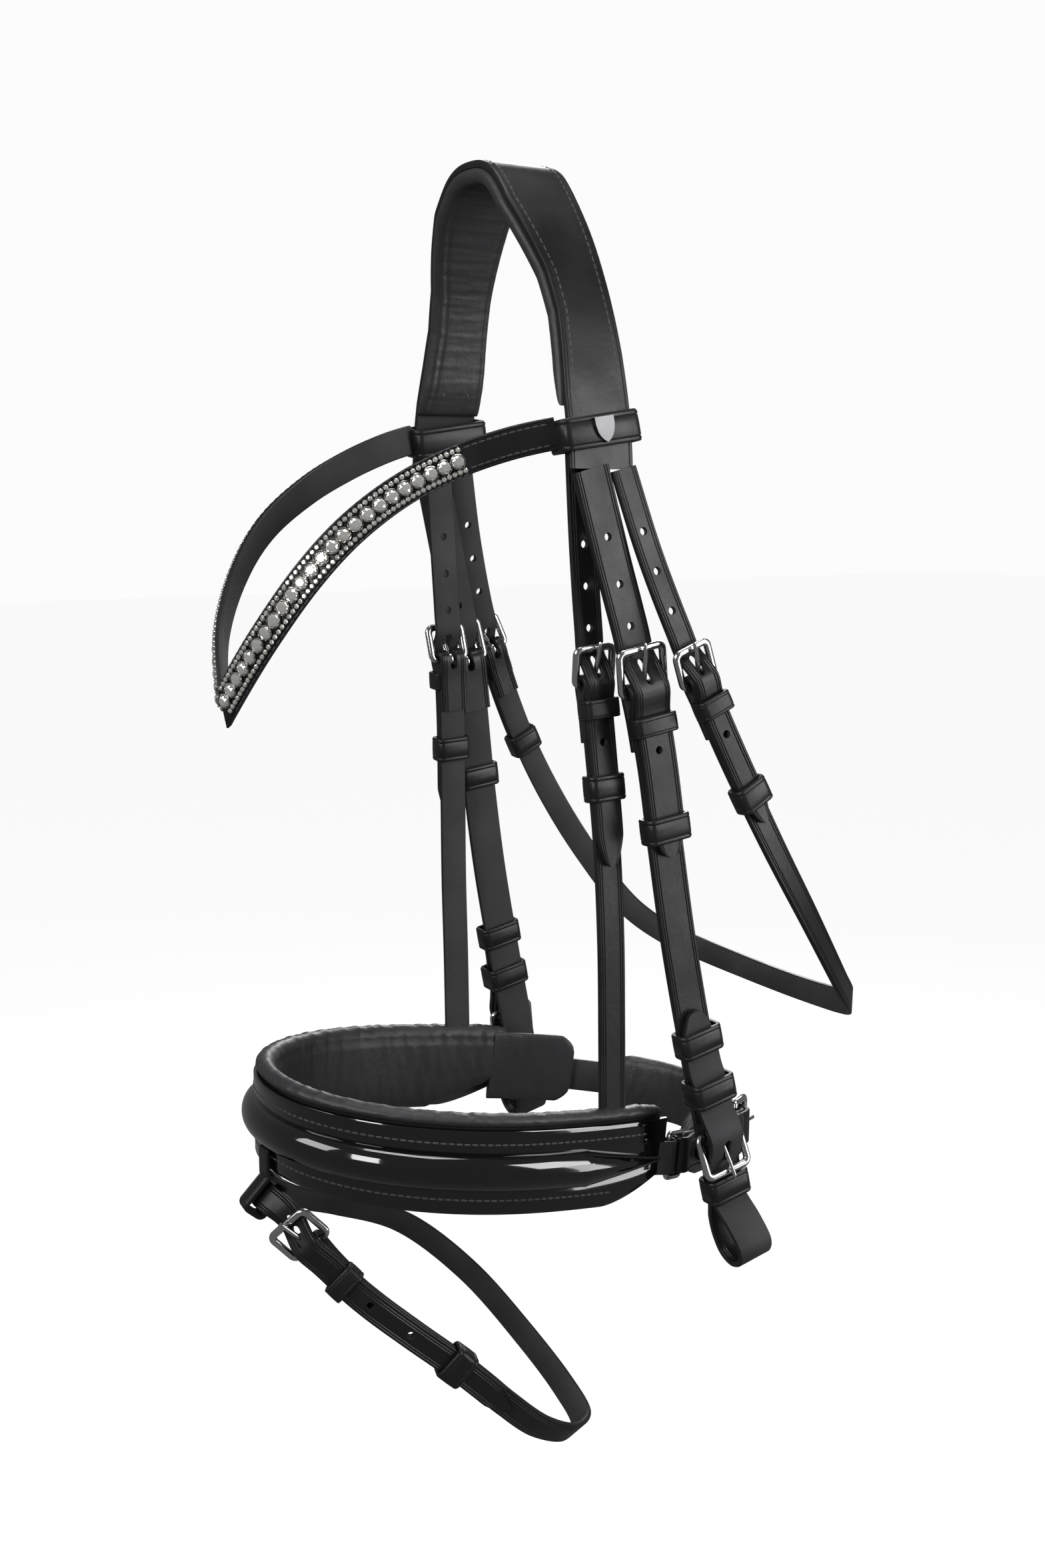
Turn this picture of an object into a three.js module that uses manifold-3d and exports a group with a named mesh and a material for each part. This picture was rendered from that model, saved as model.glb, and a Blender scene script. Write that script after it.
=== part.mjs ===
// A snaffle bridle: crown, crystal browband, two cheekpieces with bit loops, noseband with flash, throatlatch.
// Millimetres, +Z up. The origin is the poll: the middle of the underside of the crown padding.
// +X is the horse's left (near) side, -Y is towards its nose. The far side mirrors the near side.
import * as THREE from "three";
import { mergeVertices } from "three/addons/utils/BufferGeometryUtils.js";
import Module from "manifold-3d";

const wasm = await Module();
wasm.setup();

// ---- Driving dimensions -------------------------------------------------------------------------------

const GAP = 0.35; // clearance between pieces that touch
const HOLE_RADIUS = 1.7; // punched holes
const RUNNER_LENGTH = 11;
const RUNNER_WALL = 1.8;
const KEEPER_LENGTH = 8; // keepers are sewn in place
const KEEPER_WALL = 1.5;
const TIP_LENGTH = 13; // pointed end of a billet

const CROWN = { thick: 3, padThick: 6.5, splitZ: -116, padEndZ: -90.5 };
const CHEEK = { width: 17, thick: 2.7, buckle: 20, keeperHigh: 5.9 };
const BIT = { width: 17, thick: 2.7, buckle: 20, fold: 2.2 }; // the bit-end buckle hangs in a thinner fold
const HANGER = { width: 13, thick: 2.3, buckle: 17, keeperHigh: 5.9 };
const THROAT = { width: 12, thick: 2.4, buckle: 17, keeperHigh: 6.1 };
const FLASH = { width: 12, thick: 2.4, buckle: 17, keeperHigh: 5, play: 3.8 }; // its buckle sits on a bend
const CHIN = { width: 16, thick: 2.2, buckle: 17, keeperHigh: 4.8 };
const BROWBAND = {
  width: 13,
  thick: 2.6,
  stripWidth: 11.2,
  stripThick: 2,
  startY: -15.6, // the arms start this far forward of the poll, at their loops
  stripStartY: -48, // and the crystals here
  loopZ: -101,
  loopWidth: 33.2,
};
const NOSEBAND = {
  halfWidth: 74.4, // of the plan oval
  front: 96, // from the oval's centre to the nose
  rear: 138, // from the oval's centre to the back of the jaw
  centreY: -20,
  topZ: -386, // upper edge of the shell at the oval's centre
  slope: -0.136, // the band runs down towards the back
  fullness: 2.15, // 2 would be a true oval
  height: 36,
  thick: 2.6,
  beadHalf: 7.8,
  beadRise: 5.5,
  shellEndY: 38,
  ringY: 42, // front bars of the two rings
};
const BAR_HALF = 1.3; // half thickness of a buckle frame and its bar
const TONGUE_RADIUS = 1.1;
const RAIL = 3.2; // width of a buckle frame's sides and broad bar
const EYE_INNER = 2.2; // the tongue's eye and the folded strap both clear the square bar
const EYE_OUTER = 3.2;

// Heights at which things sit on the near cheekpiece, hanger and throatlatch.
const CHEEK_AT = { bar: -206, keeper: -219.5, runner: -263, tip: -275, holes: [-143, -162, -179, -230] };
const HANGER_AT = { top: -103, end: -402, bar: -203, keeper: -213, runner: -246, tip: -279, holes: [-146, -163, -180, -227] };
const THROAT_AT = { bar: -202, keeper: -212, runner: -250, tip: -262, holes: [-141, -157, -173, -224] };
const BIT_AT = { bar: -397.5, lower: -423.5, loop: -456, upper: -378.5, runner: -356.5, tip: -343 };
const CHIN_AT = { bar: 105, keeper: 92, hole: 78, tip: 60 }; // by distance behind the poll
const FLASH_AT = { bar: -440, keeper: -454.5, runner: -494, tip: -520.6, holes: [-428, -464, -478] };
const FLASH_TAB = { y: -119.1, z: -405.5 };
const FAR_BIT_LIFT = 11; // the far cheekpiece is buckled this much shorter

const LEATHER = { color: 0x16161a, roughness: 0.5, metalness: 0 };
const LINING = { color: 0x1b1b1f, roughness: 0.6, metalness: 0 };
const PATENT = { color: 0x050506, roughness: 0.06, metalness: 0 };
const STEEL = { color: 0xc9c9cc, roughness: 0.18, metalness: 1 };
const CRYSTAL = { color: 0xe8e6dc, roughness: 0.05, metalness: 0.4 };

const SIDES = [
  { name: "near", mirror: false, lift: 0 },
  { name: "far", mirror: true, lift: FAR_BIT_LIFT },
];

// ---- Solids -------------------------------------------------------------------------------------------

function solidOf(geometry) {
  geometry.deleteAttribute("normal");
  geometry.deleteAttribute("uv");
  const merged = mergeVertices(geometry, 1e-4);
  const triVerts = new Uint32Array(merged.index.array);
  const build = () =>
    new wasm.Manifold(new wasm.Mesh({ numProp: 3, vertProperties: merged.attributes.position.array, triVerts }));
  const made = build();
  if (made.volume() > 0) return made;
  for (let i = 0; i < triVerts.length; i += 3)
    [triVerts[i + 1], triVerts[i + 2]] = [triVerts[i + 2], triVerts[i + 1]];
  return build();
}

function mirrored(solid) {
  return solid.mirror([1, 0, 0]);
}

const bridle = new THREE.Group();

function addMesh(name, solid, look, side) {
  const placed = side && side.mirror ? mirrored(solid) : solid;
  const { vertProperties, triVerts } = placed.getMesh();
  const geometry = new THREE.BufferGeometry();
  geometry.setAttribute("position", new THREE.BufferAttribute(new Float32Array(vertProperties), 3));
  geometry.setIndex(new THREE.BufferAttribute(new Uint32Array(triVerts), 1));
  geometry.computeVertexNormals();
  const mesh = new THREE.Mesh(geometry, new THREE.MeshStandardMaterial(look));
  mesh.name = side ? `${name}_${side.name}` : name;
  bridle.add(mesh);
}

// ---- Lines: a route in space with an outward direction at every point ------------------------------------

class Line {
  constructor(points, outwardAt) {
    const stops = points.map((p) => new THREE.Vector3(...p));
    this.curve = new THREE.CatmullRomCurve3(stops, false, "centripetal");
    this.curve.arcLengthDivisions = 600;
    this.length = this.curve.getLength();
    this.outwardAt = outwardAt;
    const heights = this.curve.getSpacedPoints(400).map((p) => p.z);
    this.lowest = (heights.indexOf(Math.min(...heights)) / 400) * this.length;
  }

  frame(s) {
    const u = THREE.MathUtils.clamp(s / this.length, 0, 1);
    const t = this.curve.getTangentAt(u);
    const p = this.curve.getPointAt(u).addScaledVector(t, s - u * this.length);
    const n = this.outwardAt(p).projectOnPlane(t).normalize();
    return { p, t, n, b: n.clone().cross(t) };
  }

  // The length at which a coordinate that only rises or only falls from "from" to "to" passes a value.
  where(axis, value, from = 0, to = this.length) {
    const at = (s) => this.curve.getPointAt(s / this.length)[axis];
    const falls = at(from) > at(to);
    let [low, high] = [from, to];
    for (let i = 0; i < 40; i++) {
      const middle = (low + high) / 2;
      if (at(middle) > value === falls) low = middle;
      else high = middle;
    }
    return low;
  }

  atHeight(z, from = 0, to = this.length) {
    return this.where("z", z, from, to);
  }
}

// A matrix that puts x along b, y along n and z along t, at a point of the line.
function matrixAt(line, s, n) {
  const f = line.frame(s);
  return new THREE.Matrix4().makeBasis(f.b, f.n, f.t).setPosition(f.p.clone().addScaledVector(f.n, n));
}

// ---- Sweeps: a section carried along a path of [s, n] points, s along the line and n out of it -----------

const SAMPLE = 0.8;
const MAX_TURN = 0.5; // between stations of a sweep
const MAX_STEP = 30;
const MAX_SAG = 0.22; // how far a flat stretch may cut inside its curve

function stationsOf(line, path, extra) {
  const curve = new THREE.CatmullRomCurve3(
    path.map(([s, n]) => new THREE.Vector3(s, n, 0)),
    false,
    "centripetal",
  );
  curve.arcLengthDivisions = 500;
  const total = curve.getLength();
  const count = Math.ceil(total / SAMPLE);
  const points = Array.from({ length: count + 1 }, (_, i) => {
    const distance = Math.min(i * SAMPLE, total);
    const at = curve.getPointAt(distance / total);
    const slope = curve.getTangentAt(distance / total);
    const f = line.frame(at.x);
    const along = f.t.clone().multiplyScalar(slope.x).addScaledVector(f.n, slope.y).normalize();
    const out = f.n.clone().multiplyScalar(slope.x).addScaledVector(f.t, -slope.y).normalize();
    const position = f.p.clone().addScaledVector(f.n, at.y);
    return { position, along, out, across: f.b, distance };
  });
  const kept = [points[0]];
  for (let i = 1; i < count; i++) {
    const last = kept[kept.length - 1];
    const here = points[i];
    const forced = extra.some((e) => {
      const from = e >= 0 ? e : total + e;
      return from > points[i - 1].distance && from <= here.distance;
    });
    const turned = Math.max(last.along.angleTo(here.along), last.across.angleTo(here.across));
    const step = here.distance - last.distance;
    if (forced || turned > MAX_TURN || step > MAX_STEP || (step * turned) / 8 > MAX_SAG) kept.push(here);
  }
  kept.push(points[count]);
  return { kept, total };
}

// section is a Shape: x across the line, y out of it. shapeAt(station, total, x, y) may change a corner.
function sweep(line, path, section, shapeAt = null, extra = []) {
  const { kept, total } = stationsOf(line, path, extra);
  const steps = kept.length - 1;
  const geometry = new THREE.ExtrudeGeometry(section, { depth: 1, steps, bevelEnabled: false, curveSegments: 6 });
  const position = geometry.attributes.position;
  const corner = new THREE.Vector3();
  for (let i = 0; i < position.count; i++) {
    const station = kept[Math.round(position.getZ(i) * steps)];
    let [x, y] = [position.getX(i), position.getY(i)];
    if (shapeAt) [x, y] = shapeAt(station, total, x, y);
    corner.copy(station.position).addScaledVector(station.across, x).addScaledVector(station.out, y);
    position.setXYZ(i, corner.x, corner.y, corner.z);
  }
  return solidOf(geometry);
}

function rectangle(width, height, x = 0, y = 0) {
  const shape = new THREE.Shape();
  shape.moveTo(x - width / 2, y - height / 2);
  shape.lineTo(x + width / 2, y - height / 2);
  shape.lineTo(x + width / 2, y + height / 2);
  shape.lineTo(x - width / 2, y + height / 2);
  shape.closePath();
  return shape;
}

function roundedRectangle(target, width, height, radius, y = 0) {
  const [w, h] = [width / 2 - radius, height / 2 - radius];
  target.absarc(w, y + h, radius, 0, Math.PI / 2);
  target.absarc(-w, y + h, radius, Math.PI / 2, Math.PI);
  target.absarc(-w, y - h, radius, Math.PI, 1.5 * Math.PI);
  target.absarc(w, y - h, radius, 1.5 * Math.PI, 2 * Math.PI);
  return target;
}

// The width of a billet narrows to a point over its last stretch.
function pointed(tip) {
  return (station, total, x, y) => {
    const left = tip > 0 ? total - station.distance : station.distance;
    return [x * Math.min(1, 0.2 + 0.8 * Math.sqrt(left / Math.abs(tip))), y];
  };
}

function strap(line, path, size, tip = 0) {
  const section = rectangle(size.width, size.thick);
  if (!tip) return sweep(line, path, section);
  const ends = [0.12, 0.35, 0.65, 1].map((share) => -share * tip);
  return sweep(line, path, section, pointed(tip), ends);
}

// ---- Small pieces at a place on a line -------------------------------------------------------------------

function placed(geometry, matrix) {
  return solidOf(geometry.applyMatrix4(matrix));
}

// A short cylinder through a strap, to punch a hole.
function punch(line, s, n, radius = HOLE_RADIUS) {
  return placed(new THREE.CylinderGeometry(radius, radius, 9, 6), matrixAt(line, s, n));
}

function punched(solid, line, places) {
  return places.reduce((rest, [s, n]) => rest.subtract(punch(line, s, n)), solid);
}

// A block cut out of a strap, from one length to another, for a tongue.
function slot(line, from, to, n, height, width = 2 * TONGUE_RADIUS + 1.6) {
  const block = new THREE.BoxGeometry(width, height, to - from);
  return placed(block, matrixAt(line, (from + to) / 2, n));
}

// A loop of leather round the layers of a strap, from n = low to n = high inside.
function band(line, s, width, low, high, length = RUNNER_LENGTH, wall = RUNNER_WALL) {
  const middle = (low + high) / 2;
  const outline = roundedRectangle(new THREE.Shape(), width + 2 * wall, high - low + 2 * wall, wall, middle);
  const outer = new THREE.ExtrudeGeometry(outline, { depth: length, bevelEnabled: false, curveSegments: 1 });
  const inner = new THREE.BoxGeometry(width, high - low, length + 2).translate(0, middle, 0);
  const matrix = matrixAt(line, s, 0);
  return placed(outer.translate(0, 0, -length / 2), matrix).subtract(placed(inner, matrix));
}

// ---- Buckles: a frame whose bar is at s and whose broad bar lies towards "dir", and its tongue -----------

// A seat says how a buckle sits on its line: the bar's height, the height of the billet under the broad bar,
// and the height of the billet where it has come down again behind the bar.
const flatSeat = (size) => ({ bar: 0, under: 0, layer: size.thick + 0.4 });

function buckleGeometry(size, seat) {
  const fold = size.fold ?? size.thick;
  const over = EYE_INNER + fold + GAP + size.thick / 2; // the billet's height over the folded strap
  const reach = size.buckle - RAIL / 2; // from the bar to the middle of the broad bar
  const rise = seat.under - seat.bar + size.thick / 2 + GAP + BAR_HALF + 1;
  const tilt = Math.asin(rise / reach);
  const clear = BAR_HALF + TONGUE_RADIUS + GAP + 0.3; // between the tongue's axis and the broad bar's
  return { over, reach, tilt, tongueTilt: tilt + Math.asin(clear / reach) };
}

// A basis at the bar: x across, y towards the broad bar and tilted outwards, z out of the frame.
function barMatrix(line, s, seat, dir, tilt) {
  const f = line.frame(s);
  const y = f.t.clone().multiplyScalar(dir * Math.cos(tilt)).addScaledVector(f.n, Math.sin(tilt));
  const x = f.b.clone().multiplyScalar(-dir);
  const z = x.clone().cross(y);
  return new THREE.Matrix4().makeBasis(x, y, z).setPosition(f.p.clone().addScaledVector(f.n, seat.bar));
}

function buckleFrame(line, s, size, dir, seat) {
  const inner = size.width + (size.play ?? 1.2);
  const outline = new THREE.Shape();
  roundedRectangle(outline, inner + 2 * RAIL, size.buckle + BAR_HALF, 4, (size.buckle - BAR_HALF) / 2);
  const opening = new THREE.Path();
  const top = size.buckle - RAIL;
  opening.moveTo(-inner / 2, BAR_HALF);
  opening.lineTo(-inner / 2, top - 1.2);
  opening.lineTo(-inner / 2 + 1.2, top);
  opening.lineTo(inner / 2 - 1.2, top);
  opening.lineTo(inner / 2, top - 1.2);
  opening.lineTo(inner / 2, BAR_HALF);
  opening.closePath();
  outline.holes.push(opening);
  const plate = new THREE.ExtrudeGeometry(outline, { depth: 2 * BAR_HALF, bevelEnabled: false, curveSegments: 2 });
  const { tilt } = buckleGeometry(size, seat);
  return placed(plate.translate(0, 0, -BAR_HALF), barMatrix(line, s, seat, dir, tilt));
}

function tongue(line, s, size, dir, seat) {
  const g = buckleGeometry(size, seat);
  const eye = new THREE.Shape().absarc(0, 0, EYE_OUTER, 0, 2 * Math.PI);
  eye.holes.push(new THREE.Path().absarc(0, 0, EYE_INNER, 0, 2 * Math.PI));
  const depth = 2 * TONGUE_RADIUS;
  const ring = new THREE.ExtrudeGeometry(eye, { depth, bevelEnabled: false, curveSegments: 4 });
  ring.translate(0, 0, -depth / 2).rotateY(Math.PI / 2);
  const start = (EYE_INNER + EYE_OUTER) / 2;
  const length = g.reach / Math.cos(g.tongueTilt) + 2.2 - start;
  const pin = new THREE.CylinderGeometry(TONGUE_RADIUS, TONGUE_RADIUS, length, 6);
  pin.translate(0, start + length / 2, 0);
  const matrix = barMatrix(line, s, seat, dir, g.tongueTilt);
  return placed(ring, matrix).add(placed(pin, matrix));
}

// Points round a bar, from its inner side through the side towards "dir" to its outer side.
function roundBar(s, bar, r, dir) {
  return [-90, -45, 0, 45, 90].map((degrees) => {
    const a = THREE.MathUtils.degToRad(degrees);
    return [s + dir * r * Math.cos(a), bar + r * Math.sin(a)];
  });
}

// The end of a strap folded round a bar, from its free end underneath, round the bar, and out along the strap
// on the side away from "dir".
function foldPath(s, size, dir, bar = 0, away = 24) {
  const r = EYE_INNER + size.thick / 2;
  const under = bar - size.thick - 0.45;
  return [
    [s - dir * away, under],
    [s - dir * 9, under - 0.1],
    ...roundBar(s, bar, r, dir),
    [s - dir * 6, bar + r * 0.34],
    [s - dir * 10.5, bar],
  ];
}

// The billet's path under the broad bar, over the fold and down to its layer on the strap.
function overPath(s, size, dir, seat) {
  const { over, reach } = buckleGeometry(size, seat);
  return [
    [s + dir * (reach + 7), seat.under],
    [s + dir * (reach - 3), seat.under + 0.1],
    [s + dir * reach * 0.5, seat.bar + over * 0.5],
    [s + dir * 1, seat.bar + over],
    [s - dir * 7.5, (seat.bar + seat.layer) / 2 + over * 0.4],
    [s - dir * 13, seat.layer + 0.15],
    [s - dir * 20, seat.layer],
  ];
}

// The long hole through which the tongue passes the billet, above n = floor.
function tongueSlot(line, s, size, dir, seat, floor = -9) {
  const { over, reach } = buckleGeometry(size, seat);
  const ends = [s + dir * reach * 0.16, s + dir * reach * 0.76].sort((a, b) => a - b);
  const top = seat.bar + over * 1.6;
  return slot(line, ends[0], ends[1], (floor + top) / 2, top - floor);
}

// The slot in a fold that holds the tongue's eye, above n = floor.
function foldSlot(line, s, size, dir, bar = 0, floor = -9) {
  const ends = [s - dir * 4.4, s + dir * 8].sort((a, b) => a - b);
  const top = bar + EYE_INNER + (size.fold ?? size.thick) + 0.1;
  return slot(line, ends[0], ends[1], (floor + top) / 2, top - floor);
}

// Billets that continue the crown are cut level just below its end.
const aboveSplit = solidOf(new THREE.BoxGeometry(30, 60, 12).translate(79, 5, CROWN.splitZ + 5.6));

// The billet, buckle, tongue and runner of a strap that is buckled from above, on the near side of a line.
function addBuckled(name, line, size, at, side, start) {
  const half = line.lowest;
  const s = (z) => line.atHeight(z, 0, half);
  const seat = flatSeat(size);
  const bar = s(at.bar);
  const path = [[start, 0], ...overPath(bar, size, -1, seat), [s(at.tip), seat.layer]];
  const holes = at.holes.map((z) => [s(z), z > at.bar ? 0 : seat.layer]);
  const billet = punched(strap(line, path, size, TIP_LENGTH), line, holes)
    .subtract(tongueSlot(line, bar, size, -1, seat))
    .subtract(aboveSplit);
  addMesh(`${name}_billet`, billet, LEATHER, side);
  addMesh(`${name}_buckle`, buckleFrame(line, bar, size, -1, seat), STEEL, side);
  addMesh(`${name}_tongue`, tongue(line, bar, size, -1, seat), STEEL, side);
  const low = -size.thick / 2 - 2 * GAP;
  const high = seat.layer + size.thick / 2 + GAP + 0.1;
  addMesh(`${name}_runner`, band(line, s(at.runner), size.width + 2 * GAP, low, high), LEATHER, side);
}

// The keeper sewn to a strap under its buckle.
function keeper(line, s, size, strapN = 0) {
  const low = strapN - size.thick / 2 + 0.3;
  return band(line, s, size.width + 2 * GAP, low, strapN + size.keeperHigh, KEEPER_LENGTH, KEEPER_WALL);
}

// ---- Lines of the near side --------------------------------------------------------------------------

const outX = () => new THREE.Vector3(1, 0, 0);

const cheekLine = new Line(
  [[67, -1, -113], [69.7, 8.3, -150], [73.2, 18.5, -190], [76.5, 25.6, -230], [78.4, 31, -270],
    [79.6, 37.2, -310], [80.6, 45, -350], [81.8, 53.6, -390], [83.1, 62.1, -430], [84.3, 70.2, -466]],
  outX,
);
const hangerLine = new Line(
  [[60.2, -1.5, -98], [60, 1.6, -150], [60.9, 4.5, -190], [63.4, 7.5, -230], [66.6, 9.6, -270],
    [68.4, 10.8, -310], [68.4, 11.7, -350], [68.3, 12.4, -404]],
  outX,
);
const throatSide = [[67, 14.6, -113], [74.6, 24, -150], [83, 37.5, -190], [89, 54.4, -230],
  [92, 75.4, -270], [90.6, 101, -310], [83.5, 125, -342], [72, 141, -356], [55, 151, -362], [30, 158, -366]];
const throatLine = new Line(
  [...throatSide, [0, 160.5, -367.5], ...throatSide.map(([x, y, z]) => [-x, y, z]).reverse()],
  (p) => new THREE.Vector3(p.x, Math.max(0, p.y - 60) * 0.9, 0),
);

// The crown runs from its far split over the poll to its near split, here along its middle plane.
const poll = [0, 0, CROWN.thick / 2 + GAP + CROWN.padThick];
const crownSide = [[10, 0, 7.4], [18, 0, 3.9], [26, 0, -3.7], [34, 0, -13.9], [41, 0, -24.6], [48, 0, -38],
  [54, 0, -54], [58.5, 0, -70],
  [62.4, 0, -86], [65.2, 0, -100], [67, 0, -120]];
const crownLine = new Line(
  [...crownSide.map(([x, y, z]) => [-x, y, z]).reverse(), poll, ...crownSide],
  (p) => new THREE.Vector3(p.x, 0, p.z + 130),
);
const crownAt = (z) => crownLine.atHeight(z, crownLine.length / 2);

// Front and rear edges of the crown by height: wide over the poll, cut back behind the ears, wider below.
const CROWN_EDGES = [[20, -18, 17], [-8, -17.4, 16.6], [-22, -13.9, 17.1], [-38, -9.6, 17.6], [-54, -7.9, 18.7],
  [-70, -8.6, 19.8], [-86, -9.7, 20.1], [-130, -10.2, 20.2]];

function crownEdgesAt(z) {
  const i = CROWN_EDGES.findIndex(([height]) => z > height);
  const [above, below] = [CROWN_EDGES[i - 1], CROWN_EDGES[i]];
  const k = (z - above[0]) / (below[0] - above[0]);
  return [1, 2].map((column) => above[column] + (below[column] - above[column]) * k);
}

// The crown's end inside the browband loop.
const loopLine = new Line([[64.1, 3.9, -94], [66.9, 7.3, -118]], outX);

// One arm of the browband, from its loop to just past the point where the two arms meet.
const browbandLine = new Line(
  [[66, -6, -101], [62, -14, -102.3], [54.5, -31, -106.5], [48, -52, -114], [44, -73, -124.5],
    [40.5, -93.5, -139.5], [34, -108.6, -157], [21.5, -122.7, -182], [0, -131, -209.5], [-11, -134, -223]],
  (p) => {
    const k = THREE.MathUtils.clamp((-14 - p.y) / 117, 0, 1);
    return new THREE.Vector3(1 - 0.4 * k, -0.85 * k, 0);
  },
);

// The noseband's plan: two half ovals that meet at its widest place.
function nosebandPoint(angle) {
  const [c, s] = [Math.cos(angle), Math.sin(angle)];
  const power = 2 / NOSEBAND.fullness;
  const reach = s < 0 ? NOSEBAND.front : NOSEBAND.rear;
  const x = Math.sign(c) * Math.abs(c) ** power * NOSEBAND.halfWidth;
  const y = Math.sign(s) * Math.abs(s) ** power * reach;
  return [x, y + NOSEBAND.centreY, NOSEBAND.topZ + NOSEBAND.slope * y - NOSEBAND.height / 2];
}

function nosebandOutward(p) {
  const y = p.y - NOSEBAND.centreY;
  const reach = y < 0 ? NOSEBAND.front : NOSEBAND.rear;
  return new THREE.Vector3(p.x / NOSEBAND.halfWidth ** 2, y / reach ** 2, 0);
}

const arc = (from, to, steps) =>
  Array.from({ length: steps + 1 }, (_, i) => nosebandPoint(from + ((to - from) * i) / steps));

// From the back of the jaw along the near side, round the nose and back along the far side.
const nosebandLine = new Line(arc(Math.PI / 2 - 0.01, -1.5 * Math.PI + 0.01, 96), nosebandOutward);
// From the far side round the back of the jaw to the near side.
const jawLine = new Line(arc(Math.PI - 0.2, 0.2, 48), nosebandOutward);

// Lengths at which the near half of each passes y. The noseband's far half is the same from its other end.
const nosebandAt = (y) => nosebandLine.where("y", y, 0, nosebandLine.length / 2);
const jawAt = (y) => jawLine.where("y", y, jawLine.length / 2);

const flashNearSide = [[50, -28, -520.6], [51, -40, -508], [50, -54, -494], [42, -72, -478], [35, -86.6, -464.5],
  [28, -96, -454.5], [18, -108, -438.5]];
const flashCentre = new THREE.Vector3(5, -45, -487);
// Up the near side to the tab, down the far side, round the chin and up the near side once more.
const flashLine = new Line(
  [[47, -8, -539], ...flashNearSide, [9.5, -117, -423.5], [0, -120.3, -419.5], [-12, -115, -421.5], [-26, -96, -436],
    [-35, -66, -450], [-35, -35, -465], [-23, -8, -490], [-5, 13, -520], [13, 24, -541], [28, 25, -551],
    [40, 12, -550], [47, -8, -539], ...flashNearSide, [9.5, -117, -423.5], [0, -120.3, -419.5]],
  (p) => p.clone().sub(flashCentre),
);
// Lengths at which the first and the second pass up the near side cross a height.
const flashFirst = (z) => flashLine.atHeight(z, 0, flashLine.length * 0.3);
const flashSecond = (z) => flashLine.atHeight(z, flashLine.lowest, flashLine.length);

// ---- Crown ---------------------------------------------------------------------------------------------

const SECTION_HALF = 10; // the crown's sections are drawn this wide, then widened

function crownWide({ position }, x) {
  const [front, rear] = crownEdgesAt(position.z);
  return (front + rear) / 2 + (x * (rear - front)) / (2 * SECTION_HALF);
}

// Both halves start at the poll, so that the leather and its padding bend at the same places.
function crownSweep(endZ, section, shapeAt, extra = []) {
  const middle = crownLine.length / 2 - 0.2;
  const end = crownAt(endZ);
  const half = sweep(crownLine, [[middle, 0], [(middle + end) / 2, 0], [end, 0]], section, shapeAt, extra);
  return half.add(mirrored(half));
}

const crownSection = rectangle(2 * SECTION_HALF, CROWN.thick);
addMesh("crown_leather", crownSweep(CROWN.splitZ, crownSection, (at, total, x, y) => [crownWide(at, x), y]), LEATHER);

// The padding's top is flat under the leather; its front edge has the fuller roll; both ends thin out.
const PAD_TOP = -CROWN.thick / 2 - GAP;
const PAD_OUTLINE = [[9.3, 0], [10.4, -1.4], [10.3, -4], [8.7, -6], [4, -6.5], [-4, -6.5], [-8.8, -6.1], [-10.8, -4.2],
  [-10.9, -1.6], [-9.5, 0]];
const padSection = new THREE.Shape(PAD_OUTLINE.map(([x, y]) => new THREE.Vector2(x, y)));

function padThinned(at, total, x, y) {
  const k = Math.min(1, 0.3 + 0.7 * Math.sqrt((total - at.distance) / 14));
  return [crownWide(at, x), PAD_TOP + y * k];
}

addMesh("crown_padding", crownSweep(CROWN.padEndZ, padSection, padThinned, [-3, -8]), LINING);

// ---- Browband ------------------------------------------------------------------------------------------

const loopAt = loopLine.atHeight(BROWBAND.loopZ);
const [LOOP_LOW, LOOP_HIGH, LOOP_WALL] = [-7.7, CROWN.thick / 2 + 3 * GAP, 2.2];
for (const side of SIDES) {
  const loop = band(loopLine, loopAt, BROWBAND.loopWidth, LOOP_LOW, LOOP_HIGH, BROWBAND.width, LOOP_WALL);
  addMesh("browband_loop", loop, LEATHER, side);
}

// Both arms of the V, cut to meet at the middle.
function vOf(width, thick, n, startY) {
  const start = browbandLine.where("y", startY);
  const middle = (start + browbandLine.length) / 2;
  const arm = sweep(browbandLine, [[start, n], [middle, n], [browbandLine.length, n]], rectangle(width, thick));
  const away = solidOf(new THREE.BoxGeometry(60, 200, 200).translate(-30.1, -100, -200));
  const half = arm.subtract(away);
  return half.add(mirrored(half));
}

addMesh("browband_strap", vOf(BROWBAND.width, BROWBAND.thick, 0, BROWBAND.startY), LEATHER);
const stripN = BROWBAND.thick / 2 + 2 * GAP + BROWBAND.stripThick / 2;
addMesh("browband_crystals", vOf(BROWBAND.stripWidth, BROWBAND.stripThick, stripN, BROWBAND.stripStartY), CRYSTAL);

const shield = new THREE.Shape();
shield.moveTo(-4.5, 5);
shield.lineTo(4.5, 5);
shield.bezierCurveTo(4.7, -1, 3, -3.6, 0, -5.2);
shield.bezierCurveTo(-3, -3.6, -4.7, -1, -4.5, 5);
const badge = new THREE.ExtrudeGeometry(shield, { depth: 1.2, bevelEnabled: false, curveSegments: 5 });
badge.rotateX(-Math.PI / 2);
addMesh("browband_badge", placed(badge, matrixAt(loopLine, loopAt, LOOP_HIGH + LOOP_WALL + 0.2)), STEEL);

// ---- Cheekpieces ---------------------------------------------------------------------------------------

const BIT_SEAT = { bar: 4, under: 3.4, layer: 4.9 };
const LOOP_LENGTH = 27.2;

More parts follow.
